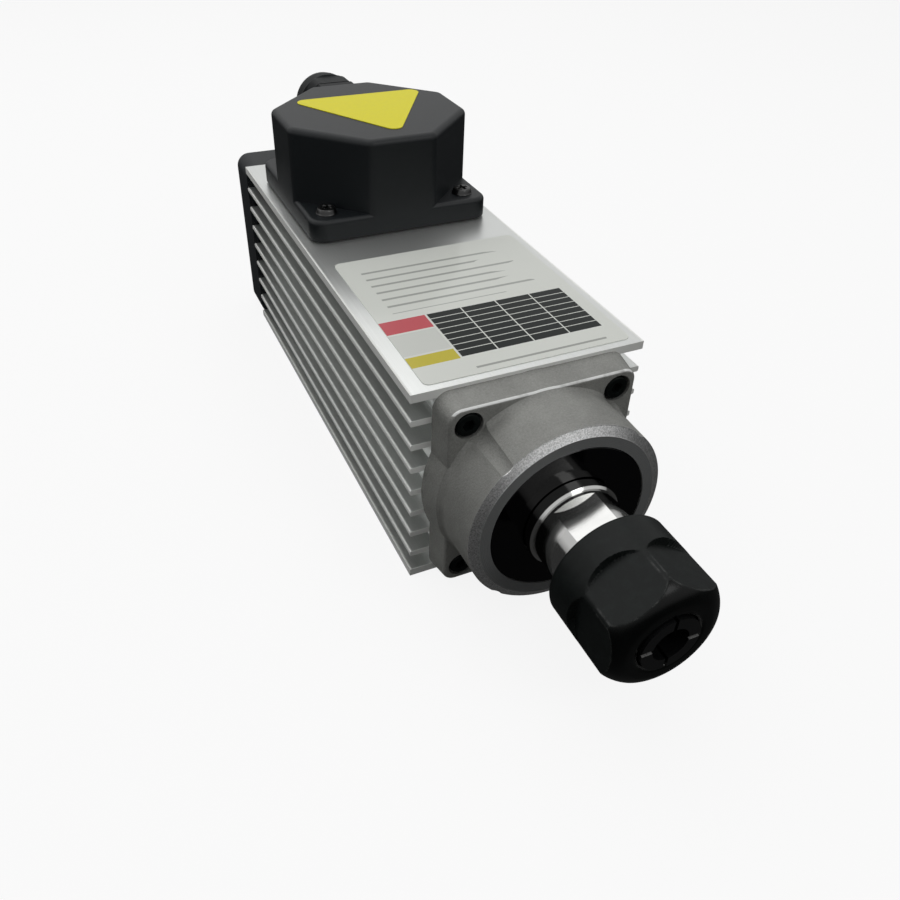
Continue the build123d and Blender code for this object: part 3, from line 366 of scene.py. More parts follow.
def cast_aluminium(tones, sizes):
    """Die cast aluminium, finely blasted, with a bright turned chamfer and a dull turned face at the nose.
    The flange's top edge carries a painted highlight, in patches."""
    finish = Finish("cast_aluminium")
    where = finish.place()
    x, y, z = finish.parts(where)
    rise = z - sizes.axis_height / MM
    radius = (x * x + rise * rise).root()
    ahead = sizes.body_front / MM - y
    chamfer = ahead.step(23.9, 24.1) * radius.step(26.35, 26.5)
    seat = ahead.step(24.9, 25.1) * (1.0 - radius.step(26.3, 26.45))
    # painted highlight: a band along the flange's top front edge, in the bright chamfer tone
    painted_highlight_edge = ahead.band(7.3, 7.85, 0.08) * z.step(61.4, 61.7) * x.band(-27.0, 27.0, 1.0)
    grain = finish.noise(where, 1.7, detail=5.0, roughness=0.7)
    specks = finish.noise(where, 6.0, detail=2.0)
    patches = finish.noise(where, 0.12, detail=3.0)
    sparkle = finish.noise(where, 2.6, detail=1.0)
    lathe = (radius * 14.0).sine() * 0.5 + 0.5
    uneven = (grain * 0.45 + patches * 0.3 + specks * 0.25).step(0.36, 0.64)
    blasted = finish.shades(uneven, tones.cast, 0.76, 1.22)
    bright = finish.shades((sparkle * 0.6 + grain * 0.4).step(0.38, 0.62), tones.machined, 0.62, 1.08)
    dull = finish.shades(lathe * 0.5 + grain * 0.5, tones.seat, 0.85)
    tone = finish.mix(seat, finish.mix(chamfer, blasted, bright), dull)
    # the painted highlight on the flange's top edge, in patches
    tone = finish.mix(painted_highlight_edge * patches.step(0.3, 0.5) * 0.75, tone, tones.machined)
    height = grain * (1.0 - seat * 0.8 - chamfer * 0.72) + lathe * seat * 0.1
    return finish.surface(base_color=tone, metallic=chamfer * 0.7 + 0.25, specular_ior_level=0.25,
                          roughness=0.52 - chamfer * 0.27 + grain * 0.1,
                          normal=finish.bump(height, 0.18, 0.9))


def ground_steel(tones):
    """Ground steel with fine rings round the spindle axis."""
    finish = Finish("ground_steel")
    rings = finish.noise(finish.place((40.0, 9000.0, 40.0)), 1.0, detail=3.0)
    stain = finish.noise(finish.place(), 0.25, detail=3.0)
    return finish.surface(base_color=finish.shades(stain, tones.steel, 0.88), metallic=1.0,
                          roughness=rings * 0.08 + 0.06, normal=finish.bump(rings, 0.01, 0.5))


def black_oxide(tones, name, roughness=0.42, gloss=0.25):
    """Satin black oxide on steel, with a fine machined grain that wears a little lighter in patches."""
    finish = Finish(name)
    grain = finish.noise(finish.place(), 5.0, detail=3.0)
    wear = finish.noise(finish.place(), 0.35, detail=4.0, roughness=0.65)
    tone = finish.shades(wear.step(0.45, 0.8), tones.black_oxide, 1.0, 1.9)
    return finish.surface(base_color=tone, roughness=grain * 0.1 + roughness,
                          specular_ior_level=gloss, normal=finish.bump(grain, 0.02, 0.5))


def nut_oxide(tones):
    """Black oxide of the nut: satin flats, a finely turned front darkened by painted shade, and edges worn
    down to the steel in patches and showing steel all round the mouth, partly wear and partly painted
    highlight. The mesh says where: one mask is 1 on the front, and another is 1 on the edges and 2 at the
    mouth."""
    finish = Finish("nut_black_oxide")
    wear_and_highlight, shaded_front = (finish.node("ShaderNodeAttribute", {"attribute_name": key}, {}, output="Fac")
                     for key in ("wear_and_highlight", "shaded_front"))
    grain = finish.noise(finish.place(), 5.0, detail=3.0)
    wear = finish.noise(finish.place(), 0.35, detail=4.0, roughness=0.65)
    tone = finish.shades(wear.step(0.45, 0.8), tones.black_oxide, 1.0, 2.2)
    # painted shade: the front face is mixed towards black
    tone = finish.mix(shaded_front * 0.7, tone, (0.0, 0.0, 0.0))
    # painted highlight, partly wear: the steel tone in patches along the edges and all round the mouth
    mouth = wear_and_highlight - 1.0
    bare_and_highlit = (wear_and_highlight * wear.step(0.42, 0.66) * 0.3).larger(mouth)
    tone = finish.mix(bare_and_highlit, tone, scaled(tones.steel, 0.4))
    return finish.surface(base_color=tone, metallic=bare_and_highlit * 0.6, specular_ior_level=0.16,
                          roughness=grain * 0.1 + 0.40 - shaded_front * 0.2, normal=finish.bump(grain, 0.02, 0.5))


def collet_steel(tones, sizes):
    """Spring steel painted near black as a painted dark reflection, with painted highlights in patches along
    the lower edges of its two level slots.
    """
    finish = Finish("collet_steel")
    x, y, z = finish.parts(finish.place())
    rise = z - sizes.axis_height / MM
    grain = finish.noise(finish.place(), 3.0, detail=3.0)
    nut_face = -70.0
    # painted highlight: the lower edges of the level slots, which face the light
    glint_band, slot_length = rise.band(-0.72, -0.45, 0.06), abs(x).band(5.2, 7.9, 0.1)
    edge = glint_band * slot_length * (nut_face - y + sizes.body_front / MM).step(0, 0.1)
    # painted dark reflection on the face, and the painted highlight in the steel tone
    tone = finish.mix(edge * grain.step(0.3, 0.5), (0.02, 0.021, 0.022), scaled(tones.steel, 0.6))
    return finish.surface(base_color=tone, metallic=0.8 - edge * 0.6, roughness=grain * 0.1 + 0.25,
                          normal=finish.bump(grain, 0.02, 0.5))


def gloss_enamel(tones):
    """Deep glossy black with the faintest orange peel."""
    finish = Finish("gloss_enamel")
    peel = finish.noise(finish.place(), 0.5, detail=2.0)
    return finish.surface(base_color=tones.enamel, roughness=peel * 0.04 + 0.07, specular_ior_level=0.16,
                          normal=finish.bump(peel, 0.02, 0.3))


def moulded_plastic(tones, name, roughness=0.5, lightness=1.0, gloss=0.3):
    """Black plastic with a spark-eroded mould texture."""
    finish = Finish(name)
    pits = finish.noise(finish.place(), 4.5, detail=4.0, roughness=0.6)
    cloud = finish.noise(finish.place(), 0.08, detail=2.0)
    tone = finish.shades(cloud, scaled(tones.plastic, lightness), 0.85, 1.2)
    return finish.surface(base_color=tone, roughness=pits * 0.12 + roughness, specular_ior_level=gloss,
                          normal=finish.bump(pits, 0.05, 0.7))


def block_plastic():
    """Beige plastic of the terminal block, faintly grained."""
    finish = Finish("terminal_plastic")
    grain = finish.noise(finish.place(), 2.0, detail=3.0)
    tone = finish.mix(grain, (0.60, 0.56, 0.46), (0.68, 0.64, 0.54))
    return finish.surface(base_color=tone, roughness=grain * 0.1 + 0.45,
                          normal=finish.bump(grain, 0.04, 0.5))


def rubber(name, base):
    """Dull rubber or soft plastic of the given colour, faintly grained."""
    finish = Finish(name)
    grain = finish.noise(finish.place(), 3.0, detail=3.0)
    return finish.surface(base_color=finish.shades(grain, base, 0.8, 1.2), roughness=grain * 0.1 + 0.65,
                          normal=finish.bump(grain, 0.05, 0.5))


def plated_steel(name, base, roughness=0.22):
    """Plated or plain bright metal of the given colour, a little cloudy."""
    finish = Finish(name)
    cloud = finish.noise(finish.place(), 1.2, detail=4.0)
    return finish.surface(base_color=finish.shades(cloud, base, 0.8), metallic=1.0,
                          roughness=cloud * 0.15 + roughness, normal=finish.bump(cloud, 0.02, 0.4))


def laminations(name, base):
    """Stacked sheet steel: half millimetre sheets with a thin dark joint between them."""
    finish = Finish(name)
    _, y, _ = finish.parts(finish.place())
    sheets_per_mm = 2.0
    joint = (y * sheets_per_mm).fraction().band(0.0, 0.25, 0.05)
    cloud = finish.noise(finish.place(), 0.6, detail=3.0)
    tone = finish.shades(joint * 0.6 + cloud * 0.2, base, 1.0, 0.35)
    return finish.surface(base_color=tone, metallic=0.9, roughness=cloud * 0.2 + 0.35,
                          normal=finish.bump(1.0 - joint, 0.03, 0.6))


def winding_wire(tones):
    """Varnished copper wire laid side by side round the end turns, with painted shade between the wires."""
    finish = Finish("winding_wire")
    x, y, z = finish.parts(finish.place())
    strands_and_shade = (y * 9.0 + x * 1.5 + z * 1.5).sine() * 0.5 + 0.5
    cloud = finish.noise(finish.place(), 0.4, detail=3.0)
    # painted shade: the copper is darker between the wires
    tone = finish.shades(strands_and_shade * 0.6 + cloud * 0.4, tones.copper, 0.4)
    return finish.surface(base_color=tone, metallic=0.8, roughness=cloud * 0.15 + 0.3,
                          normal=finish.bump(strands_and_shade, 0.1, 0.7))


def label_print(tones):
    """White film with a blank ruled table, three plain bars and pale ruled lines. X runs across the label,
    and y along it, lower towards the nose."""
    finish = Finish("label_print")
    x, y, _ = finish.parts(finish.place())
    soft, half_rule = 0.06, 0.16

    columns, rows, table_front, table_back = (-15.3, -4.6, 6.6, 17.9, 28.4), 8, -71.7, -47.7
    table = x.band(columns[0], columns[-1], soft) * y.band(table_front, table_back, soft)
    rules = finish.value(0.0)
    for edge in columns[1:-1]:
        rules = rules.larger(x.band(edge - half_rule, edge + half_rule, soft))
    row = ((y - table_front) / ((table_back - table_front) / rows)).fraction()
    past_front_edge = (y - (table_front + 1.2)).step(0.0, 0.1)
    rules = rules.larger(row.band(0.0, 0.09, 0.02) * past_front_edge)

    bars = x.band(-30.0, -16.0, soft)
    red, pale, yellow = (bars * y.band(front, back, soft)
                         for front, back in ((-54.6, -47.7), (-66.3, -55.4), (-72.2, -67.2)))

    line_pitch, last_line = 4.4, -46.0
    lines = ((y - last_line) / line_pitch).fraction().band(0.30, 0.50, 0.03)
    uneven_end = (y * 0.9).sine() * 6.0 + 18.0
    reach = 1.0 - (x - uneven_end).step(0.0, 0.4)
    paragraph = lines * x.band(-24.0, 27.0, 0.3) * y.band(-44.0, -15.0, 0.2) * reach
    foot_line = x.band(-14.0, 26.0, soft) * y.band(-78.2, -77.4, soft)

    paper = finish.shades(finish.noise(finish.place(), 0.05, detail=2.0), tones.label, 0.97)
    tone = finish.mix(table * (1.0 - rules), paper, tones.label_ink)
    tone = finish.mix(red, tone, tones.red_bar)
    tone = finish.mix(yellow, tone, tones.yellow_bar)
    tone = finish.mix(pale * 0.12, tone, tones.label_ink)
    tone = finish.mix((paragraph * 0.45).larger(foot_line * 0.5), tone, tones.label_ink)
    wave = finish.noise(finish.place(), 0.12, detail=2.0)
    return finish.surface(base_color=tone, roughness=wave * 0.04 + 0.1, specular_ior_level=0.14,
                          normal=finish.bump(wave, 0.06, 0.3))


def sticker_film(tones):
    """Plain yellow film, a little uneven in tone."""
    finish = Finish("sticker_film")
    grain = finish.noise(finish.place(), 0.6, detail=3.0)
    return finish.surface(base_color=finish.shades(grain, tones.sticker, 0.92),
                          roughness=grain * 0.1 + 0.3, specular_ior_level=0.12,
                          normal=finish.bump(grain, 0.02, 0.4))


# ---------------------------------------------------------------- shapes

def round_angles(count):
    """A row of evenly spaced angles, once round."""
    return np.linspace(0, 2 * math.pi, count, endpoint=False)[None, :]


def from_flat(angle):
    """The angle from the middle of the nearest of six flats, two of which meet at angle 0."""
    return angle % (math.pi / 3) - math.pi / 6


def about_spindle(ahead, radius, angle, sizes):
    """World points from the distance in front of the body, the radius and the angle from +Z to -X."""
    return np.stack([-radius * np.sin(angle), sizes.body_front - ahead + 0 * angle,
                     sizes.axis_height + radius * np.cos(angle)], axis=-1)


def nut_mesh(sizes):
    """Collet nut. Its half section is carried round the axis, and its radius is the smaller of the section's
    and of the flat's, r = half width / cos(angle from the flat's middle). A flat starts on the cutter's
    arc, start + cutter - sqrt(cutter^2 - sideways^2), with a short ramp for the cutter's shoulder. The mesh
    carries the two masks of its finish."""
    back, front, skirt, face = sizes.nut_back, sizes.nut_front, sizes.nut_radius, sizes.nut_face
    bevel, ramp = 0.6 * MM, 0.22 * MM
    bore, cone, ledge, thread = 8.6 * MM, 10.16 * MM, 11.2 * MM, 12.58 * MM
    dome = arc_through((sizes.nut_shoulder, skirt), (sizes.nut_dome_place, sizes.nut_dome_radius),
                       (front, face), np.linspace(0, 1, 28))
    outer = dense([(back, thread), (back, skirt - bevel), (back + bevel * 0.3, skirt - bevel * 0.3),
                   (back + bevel, skirt), (sizes.nut_shoulder, skirt)], 0.2 * MM)
    inner = dense([(front, face), (front, 9.3 * MM), (front - 0.35 * MM, 8.8 * MM),
                   (front - 0.6 * MM, bore), (69.0 * MM, bore), (66.2 * MM, cone), (63.6 * MM, cone),
                   (63.6 * MM, ledge), (62.8 * MM, ledge), (62.8 * MM, thread),
                   (back + 0.01 * MM, thread)], 1.0 * MM)
    section = np.vstack([outer, dome[1:-1], inner])
    ahead, turned = section[:, :1], section[:, 1:]
    angle = round_angles(432)
    flat_angle = from_flat(angle - sizes.nut_turn)
    flat = sizes.nut_flats / 2 / np.cos(flat_angle)
    sideways = flat * np.sin(flat_angle)
    start = sizes.nut_flat_start + sizes.nut_cutter - np.sqrt(sizes.nut_cutter ** 2 - sideways ** 2)
    cut = smooth_step(-ramp, ramp, ahead - start)
    clear_of_skirt = skirt * 1.2
    limit = clear_of_skirt * (1 - cut) + flat * cut
    on_outside = np.arange(len(section))[:, None] < len(outer) + len(dome) - 2
    turned = turned + 0 * angle
    radius = np.where(on_outside, smooth_least(turned, limit, sizes.edge_softness), turned)
    mesh = skin("collet_nut_turned", [about_spindle(ahead, radius, angle, sizes)], ring=True)

    # masks of the painted highlight, partly wear, on the mouth and on the flats' rounded edges
    mouth = ~on_outside & (ahead > front - 0.65 * MM) & (ahead < front - 0.02 * MM) & (turned < 9.2 * MM)
    edge = smooth_step(0.16 * MM, 0.03 * MM, abs(turned - limit)) * smooth_step(57 * MM, 62 * MM, ahead)
    wear_and_highlight = np.where(on_outside, edge, 2.0 * mouth)
    # mask of the painted shade on the front, past the shoulder
    shaded_front = smooth_step(0, 0.3 * MM, limit - turned) * (ahead > sizes.nut_shoulder + 0.1 * MM)
    for key, mask in (("wear_and_highlight", wear_and_highlight), ("shaded_front", shaded_front)):
        mesh.attributes.new(key, "FLOAT", "POINT").data.foreach_set("value", mask.astype(float).ravel())
    return mesh


def arc_through(start, middle, end, turn):
    """Points of the circle through three points, evenly spaced from the first to the last."""
    (ax, ay), (bx, by), (cx, cy) = start, middle, end
    d = 2 * (ax * (by - cy) + bx * (cy - ay) + cx * (ay - by))
    ux = ((ax**2 + ay**2) * (by - cy) + (bx**2 + by**2) * (cy - ay) + (cx**2 + cy**2) * (ay - by)) / d
    uy = ((ax**2 + ay**2) * (cx - bx) + (bx**2 + by**2) * (ax - cx) + (cx**2 + cy**2) * (bx - ax)) / d
    first, last = math.atan2(ay - uy, ax - ux), math.atan2(cy - uy, cx - ux)
    sweep = (last - first + math.pi) % (2 * math.pi) - math.pi
    radius = math.hypot(ax - ux, ay - uy)
    angles = first + sweep * turn
    return np.stack([ux + radius * np.cos(angles), uy + radius * np.sin(angles)], axis=-1)


def cross_screw(place, turn, sizes):
    """Pan head screw with a cross recess, upright. The head is a flattened dome over the polar grid, less the
    cross, whose depth is the larger of two soft bars and falls off with the distance from the centre."""
    head, rise, shank, reach = 3.5 * MM, 2.0 * MM, 1.95 * MM, 9.6 * MM
    bar_side, bar_end = (0.62 * MM, 0.40 * MM), (2.0 * MM, 1.5 * MM)
    rho = np.concatenate([np.linspace(0, 2.6 * MM, 30), np.linspace(2.7 * MM, head, 14)])[:, None]
    angle = round_angles(96)
    top = rise * (1 - 0.16 * (rho / head) ** 2) - 0.75 * rise * smooth_step(0.72, 1.0, rho / head) ** 2
    x, y = rho * np.cos(angle), rho * np.sin(angle)
    bars = [smooth_step(*bar_side, abs(a)) * smooth_step(*bar_end, abs(b)) for a, b in ((x, y), (y, x))]
    recess = np.maximum(*bars) * sizes.cross_depth * (1 - 0.35 * rho / bar_end[0])
    rows = [np.stack([x, y, top - recess], axis=-1)]
    for radius, height in ((head, 0.05 * MM), (head - 0.05 * MM, 0.0), (shank, 0.0),
                           (shank, -reach + 0.4 * MM), (shank * 0.7, -reach), (0.0, -reach)):
        rows.append(np.stack([radius * np.cos(angle), radius * np.sin(angle),
                              np.full_like(angle, height)], axis=-1))
    x, y, z = np.moveaxis(np.concatenate(rows), -1, 0)
    c, s = math.cos(turn), math.sin(turn)
    return np.stack([x * c - y * s, x * s + y * c, z], axis=-1)[::-1] + np.asarray(place)


def socket_screw(place, forward, turn, shank_length, sizes):
    """Socket head screw along Y. Each row of its half section is a circle, drawn in to a hexagon in the
    socket, and the head's side is knurled with soft grooves."""
    head, shank, end, grooves = 3.45, 1.95, shank_length / MM, 30
    # along and radius in millimetres, share of hexagon, share of knurl
    section = [(2.0, 0.0, 1, 0), (2.0, 1.05, 1, 0), (2.05, 1.5, 1, 0), (3.7, 1.5, 1, 0), (3.95, 1.62, 1, 0),
               (4.0, 1.85, 0.4, 0), (4.0, 2.3, 0, 0), (3.98, 2.85, 0, 0), (3.86, 3.2, 0, 0),
               (3.6, 3.42, 0, 0.3), (3.35, head, 0, 1), (2.6, head, 0, 1), (1.8, head, 0, 1),
               (1.0, head, 0, 1), (0.4, head, 0, 1), (0.2, 3.42, 0, 0.3), (0.0, 3.3, 0, 0),
               (0.0, shank, 0, 0), (0.6 - end, 1.6, 0, 0), (-end, 1.2, 0, 0), (-end, 0.0, 0, 0)]
    along, radius, hexed, knurled = (np.array(column)[:, None] for column in zip(*section))
    angle = round_angles(180)
    outline = hexed / np.cos(from_flat(angle + turn)) + (1 - hexed)
    groove = knurled * sizes.knurl_depth * (0.5 - 0.5 * np.cos(grooves * angle))
    reach = radius * MM * outline - groove
    height = np.broadcast_to(along * MM, reach.shape)
    grid = np.stack([place[0] + reach * np.cos(angle), place[1] + forward * height,
                     place[2] + reach * np.sin(angle)], axis=-1)
    return grid[:, ::-1] if forward < 0 else grid


def gland_cap_mesh(sizes, low, high):
    """Dome cap of the gland, in the box from low to high. A round outline is carried round the gland's axis
    and drawn in to the hexagon half width / cos(angle from the flat's middle) over the hexagon's length,
    past which the hexagon fades."""
    centre, end, bore = (low.z + high.z) / 2, (high.y - low.y) / MM, 9.12
    # along and radius in millimetres
    outer = dense([(0.0, 10.9), (0.0, 11.7), (0.5, 12.25), (7.2, 12.25), (8.6, 11.5), (9.6, 11.2),
                   (13.6, 11.05), (16.4, 10.45), (18.4, 9.5), (19.7, 8.35), (end - 0.2, 7.5),
                   (end, 7.0)], 0.35)
    inner = dense([(end, 7.0), (end, 4.9), (end - 0.3, 4.6), (end - 1.5, 4.6), (13.4, 5.0), (11.8, bore),
                   (0.0, bore), (0.0, 10.9)], 1.2)
    section = np.vstack([outer, inner[1:-1]]) * MM
    along, radius = section[:, :1], section[:, 1:]
    angle = round_angles(216)
    faded = smooth_step(sizes.gland_hex_length - 0.6 * MM, sizes.gland_hex_length + 1.4 * MM, along)
    hexagon = sizes.gland_flats / 2 / np.cos(from_flat(angle + math.pi / 6)) + faded * 3 * MM
    limited = smooth_least(radius + 0 * angle, hexagon, 0.35 * MM)
    radius = np.where(np.arange(len(section))[:, None] < len(outer), limited, radius)
    grid = np.stack([-radius * np.sin(angle), low.y + along + 0 * angle, centre + radius * np.cos(angle)], -1)
    return skin("gland_dome_cap", [grid[:, ::-1]], ring=True)


# ---------------------------------------------------------------- operators

class SPINDLE_OT_body(bpy.types.Operator):
    """Finish the finned body and both end bells"""
    bl_idname = "spindle.body"
    bl_label = "Body and End Bells"

    def execute(self, context):
        tones, sizes = context.scene.spindle_colours, context.scene.spindle_sizes
        dress(["motor_body"], blasted_aluminium(tones))
        dress(["front_end_bell", "rear_end_bell"], cast_aluminium(tones, sizes))
        dress(["front_bearing_cap"], gloss_enamel(tones))
        return {"FINISHED"}


class SPINDLE_OT_nose(bpy.types.Operator):
    """Finish the shaft, slinger and collet"""
    bl_idname = "spindle.nose"
    bl_label = "Shaft and Collet"

    def execute(self, context):
        tones, sizes = context.scene.spindle_colours, context.scene.spindle_sizes
        dress(["spindle_shaft", "slinger_ring", "inner_ring_spacer", "outer_ring_spacer"],
              ground_steel(tones))
        dress(["collet"], collet_steel(tones, sizes))
        return {"FINISHED"}


class SPINDLE_OT_nut(bpy.types.Operator):
    """Build the collet nut with softly rounded milled flats"""
    bl_idname = "spindle.nut"
    bl_label = "Collet Nut"

    def execute(self, context):
        sizes, tones = context.scene.spindle_sizes, context.scene.spindle_colours
        piece("collet_nut_turned", nut_mesh(sizes), nut_oxide(tones), "nut", ["collet_nut"])
        return {"FINISHED"}


class SPINDLE_OT_screws(bpy.types.Operator):
    """Build the socket screws of the end bell and rear cover and the cross-head screws of the box"""
    bl_idname = "spindle.screws"
    bl_label = "Screws"

    def execute(self, context):
        sizes, tones = context.scene.spindle_sizes, context.scene.spindle_colours
        dark = black_oxide(tones, "screw_black_oxide", roughness=0.28, gloss=0.05)
        across, up = 22.2, 25.0     # millimetres from the spindle's axis
        for node, name, seat, forward, grip in (("front_bell_screws", "front_socket_screws", -87.0, -1, 12.0),
                                                ("rear_cover_screws", "rear_socket_screws", 95.5, 1, 20.5)):
            # each screw was tightened to a turn of its own
            screws = [socket_screw((x * across * MM, seat * MM, sizes.axis_height + z * up * MM), forward,
                                   0.4 + 1.1 * x + 0.7 * z, grip * MM, sizes)
                      for x in (-1, 1) for z in (-1, 1)]
            piece(name, skin(name, screws, poles=True), dark, "housing", [node])
        low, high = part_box("terminal_box_screws")
        inset, head_top = 3.6 * MM, 2.4 * MM
        corners = [(x, y) for x in (low.x + inset, high.x - inset) for y in (low.y + inset, high.y - inset)]
        screws = [cross_screw((x, y, high.z - head_top), turn, sizes)
                  for (x, y), turn in zip(corners, (0.5, 1.1, 0.2, 0.85))]
        piece("cross_screws", skin("cross_screws", screws, poles=True),
              plated_steel("screw_black_zinc", (0.06, 0.06, 0.06)), "housing", ["terminal_box_screws"])
        return {"FINISHED"}


class SPINDLE_OT_box(bpy.types.Operator):
    """Finish the terminal box, its sticker and what is inside it"""
    bl_idname = "spindle.box"
    bl_label = "Terminal Box"

    def execute(self, context):
        tones = context.scene.spindle_colours
        dress(["terminal_box_cover"], moulded_plastic(tones, "box_plastic", roughness=0.4, lightness=0.8))
        dress(["box_sticker"], sticker_film(tones))
        dress(["terminal_box_gasket"], rubber("gasket_rubber", (0.03, 0.03, 0.03)))
        dress(["terminal_block"], block_plastic())
        dress(["terminal_screws"], plated_steel("terminal_brass", (0.72, 0.52, 0.22)))
        dress(["earth_screw"], plated_steel("earth_zinc", (0.62, 0.62, 0.60)))
        dress(["motor_leads"], rubber("lead_insulation", (0.40, 0.04, 0.03)))
        return {"FINISHED"}


class SPINDLE_OT_gland(bpy.types.Operator):
    """Finish the cable gland"""
    bl_idname = "spindle.gland"
    bl_label = "Cable Gland"

    def execute(self, context):
        tones, sizes = context.scene.spindle_colours, context.scene.spindle_sizes
        nylon = moulded_plastic(tones, "gland_nylon", lightness=0.5, gloss=0.16)
        dress(["gland_body", "gland_locknut"], nylon)
        piece("gland_dome_cap", gland_cap_mesh(sizes, *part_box("gland_cap")), nylon, "gland_cap",
              ["gland_cap"])
        dress(["gland_seal", "gland_o_ring"], rubber("gland_rubber", (0.02, 0.02, 0.02)))
        return {"FINISHED"}


class SPINDLE_OT_rear(bpy.types.Operator):
    """Finish the rear cover and the fan behind its grille"""
    bl_idname = "spindle.rear"
    bl_label = "Rear Cover and Fan"

    def execute(self, context):
        tones = context.scene.spindle_colours
        dress(["rear_cover"], moulded_plastic(tones, "cover_plastic"))
        dress(["cooling_fan"], moulded_plastic(tones, "fan_plastic", roughness=0.4))
        dress(["fan_circlip"], plated_steel("spring_steel", (0.3, 0.3, 0.31), roughness=0.3))
        return {"FINISHED"}


class SPINDLE_OT_label(bpy.types.Operator):
    """Print the blank rating label"""
    bl_idname = "spindle.label"
    bl_label = "Rating Label"

    def execute(self, context):
        dress(["rating_label"], label_print(context.scene.spindle_colours))
        return {"FINISHED"}


class SPINDLE_OT_inside(bpy.types.Operator):
    """Finish the winding, cores and bearings"""
    bl_idname = "spindle.inside"
    bl_label = "Motor Inside"

    def execute(self, context):
        tones = context.scene.spindle_colours
        dress(["stator_core", "rotor_core"], laminations("sheet_steel", (0.34, 0.34, 0.36)))
        dress(["stator_windings"], winding_wire(tones))
        dress(["rotor_end_rings"], plated_steel("rotor_casting", (0.62, 0.62, 0.63), roughness=0.35))
        dress(["front_bearing_outer_rings", "front_bearing_inner_rings", "front_bearing_balls",
               "rear_bearing_outer_ring", "rear_bearing_inner_ring", "rear_bearing_balls"],
              plated_steel("bearing_steel", (0.74, 0.74, 0.75), roughness=0.08))
        dress(["front_bearing_cages", "rear_bearing_cage", "wave_washer"],
              plated_steel("pressed_steel", (0.42, 0.42, 0.43), roughness=0.3))
        dress(["front_bearing_nut"], black_oxide(tones, "ring_nut_oxide"))
        return {"FINISHED"}


class SPINDLE_OT_stage(bpy.types.Operator):
    """Set up the floor, the soft lights and the camera"""
    bl_idname = "spindle.stage"
    bl_label = "Studio"

    def execute(self, context):
        stage = context.scene.spindle_stage
        context.scene.view_settings.view_transform = "Standard"
        make_floor(stage)
        make_lights(stage)
        make_camera(stage)
        return {"FINISHED"}


# ---------------------------------------------------------------- studio

def rays(finish):
    """1 for what the camera sees directly, and 1 for what gloss or glass shows."""
    seen, glossy, through = finish.node("ShaderNodeLightPath", {}, {}, output=(
        "Is Camera Ray", "Is Glossy Ray", "Is Transmission Ray"))
    return seen, glossy.larger(through)


def make_floor(stage):
    """Pale floor. To the camera it is mostly plain white, and the rest is a pale paint that takes the
    object's shadow. In gloss it shows dark, and a dark paint lights the object from below."""
    half, camera_paint = 12.0, 0.9
    mesh = bpy.data.meshes.new("studio_floor")
    mesh.from_pydata([(-half, -half, 0), (half, -half, 0), (half, half, 0), (-half, half, 0)], [],
                     [(0, 1, 2, 3)])
    floor = placed("studio_floor", mesh)
    finish = Finish("studio_floor")
    seen, mirrored = rays(finish)
    shade = finish.mix(seen, [stage.floor_paint] * 3, [camera_paint] * 3)
    paint = finish.node("ShaderNodeBsdfDiffuse", {}, {"Color": shade})
    tone = finish.mix(mirrored, (1.0, 1.0, 1.0), [stage.floor_mirrored] * 3)
    glow = finish.node("ShaderNodeEmission", {}, {"Color": tone, "Strength": 1.0})
    glow_share = (seen * stage.floor_tone).larger(mirrored)
    mesh.materials.append(finish.shown(finish.node("ShaderNodeMixShader", {},
                                                   {0: glow_share, 1: paint, 2: glow})))


def make_lights(stage):
    """Surroundings that are nearly white to the camera and, in gloss, paler overhead than near the ground, a
    soft box overhead towards the rear and two weak ones at the left and in front."""
    finish = Finish("studio_world", "worlds")
    bpy.context.scene.world = finish.material
    seen, mirrored = rays(finish)
    even, backdrop = (finish.node("ShaderNodeBackground", {}, {"Color": (1.0, 1.0, 1.0, 1.0),
                                                               "Strength": strength})
                      for strength in (stage.world_light, 1.0))
    rise = finish.parts(finish.node("ShaderNodeTexCoord", {}, {}, output="Generated"))[2]
    overhead = rise.step(0.0, 0.25) * 0.75 + 0.25
    backdrop_share = (seen * stage.backdrop_tone).larger(mirrored * stage.world_mirrored * overhead)
    finish.node("ShaderNodeOutputWorld", {}, {
        "Surface": finish.node("ShaderNodeMixShader", {}, {0: backdrop_share, 1: even, 2: backdrop})})
    soft_box("overhead_soft_box", place=(-0.08, 0.24, 0.72), aim=(0.0, 0.0, 0.04), size=1.0,
             power=stage.key_light)
    soft_box("left_soft_box", place=(-0.75, 0.10, 0.35), aim=(0.0, -0.05, 0.03), size=0.35,
             power=stage.key_light * stage.left_share)
    soft_box("front_soft_box", place=(0.25, -0.60, 0.62), aim=(0.0, -0.08, 0.03), size=0.3,
             power=stage.key_light * stage.front_share)


def soft_box(name, place, aim, size, power):
    """Square lamp that shines from its place towards the aim."""
    data = bpy.data.lights.new(name, "AREA")
    data.shape, data.size, data.energy = "SQUARE", size, power
    lamp = placed(name, data)
    lamp.location = place
    lamp.rotation_euler = (Vector(place) - Vector(aim)).to_track_quat("Z", "Y").to_euler()


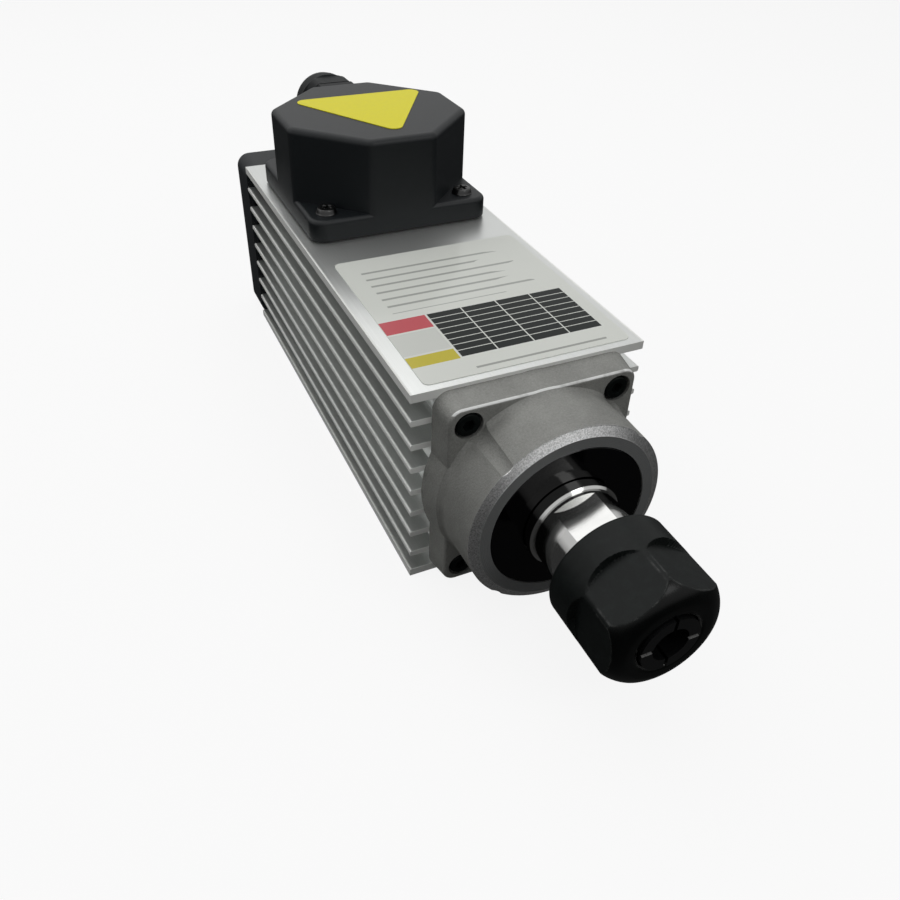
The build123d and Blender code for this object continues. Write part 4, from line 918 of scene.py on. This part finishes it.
def make_camera(stage):
    """Camera at the photograph's viewing angle. The rows are its right, down and forward directions."""
    data = bpy.data.cameras.new("studio_camera")
    data.sensor_width, data.lens, data.clip_start = 36.0, stage.lens, 0.01
    camera = placed("studio_camera", data)
    right = (0.9082957, -0.4172245, 0.0303742)
    down = (-0.2396732, -0.5785268, -0.7796560)
    ahead = (0.3428638, 0.7008784, -0.6254709)
    place = (-0.100762, -0.241102, 0.185321)
    camera.matrix_world = Matrix(((right[0], -down[0], -ahead[0], place[0]),
                                  (right[1], -down[1], -ahead[1], place[1]),
                                  (right[2], -down[2], -ahead[2], place[2]), (0, 0, 0, 1)))
    bpy.context.scene.camera = camera


class SPINDLE_PT_panel(bpy.types.Panel):
    """Lists the steps that finish the spindle"""
    bl_idname = "SPINDLE_PT_panel"
    bl_label = "Motor Spindle"
    bl_space_type = "VIEW_3D"
    bl_region_type = "UI"
    bl_category = "Spindle"

    def draw(self, context):
        for operator in OPERATORS:
            self.layout.operator(operator.bl_idname)
        for group in SETTINGS:
            box = self.layout.box()
            settings = getattr(context.scene, group)
            for key in settings.__annotations__:
                box.prop(settings, key)


OPERATORS = (SPINDLE_OT_body, SPINDLE_OT_nose, SPINDLE_OT_nut, SPINDLE_OT_screws, SPINDLE_OT_box,
             SPINDLE_OT_gland, SPINDLE_OT_rear, SPINDLE_OT_label, SPINDLE_OT_inside, SPINDLE_OT_stage)
SETTINGS = {"spindle_sizes": SpindleSizes, "spindle_colours": SpindleColours, "spindle_stage": SpindleStage}
CLASSES = (*SETTINGS.values(), *OPERATORS, SPINDLE_PT_panel)


def register():
    """Registers the classes and gives every scene their settings."""
    for cls in CLASSES:
        bpy.utils.register_class(cls)
    for name, group in SETTINGS.items():
        setattr(bpy.types.Scene, name, bpy.props.PointerProperty(type=group))


def unregister():
    """Takes the settings and the classes away again."""
    for name in SETTINGS:
        delattr(bpy.types.Scene, name)
    for cls in reversed(CLASSES):
        bpy.utils.unregister_class(cls)


def main():
    """Runs the steps in order."""
    register()
    bpy.ops.spindle.body()
    bpy.ops.spindle.nose()
    bpy.ops.spindle.nut()
    bpy.ops.spindle.screws()
    bpy.ops.spindle.box()
    bpy.ops.spindle.gland()
    bpy.ops.spindle.rear()
    bpy.ops.spindle.label()
    bpy.ops.spindle.inside()
    bpy.ops.spindle.stage()
    bpy.context.view_layer.update()


if __name__ == "__main__":
    main()
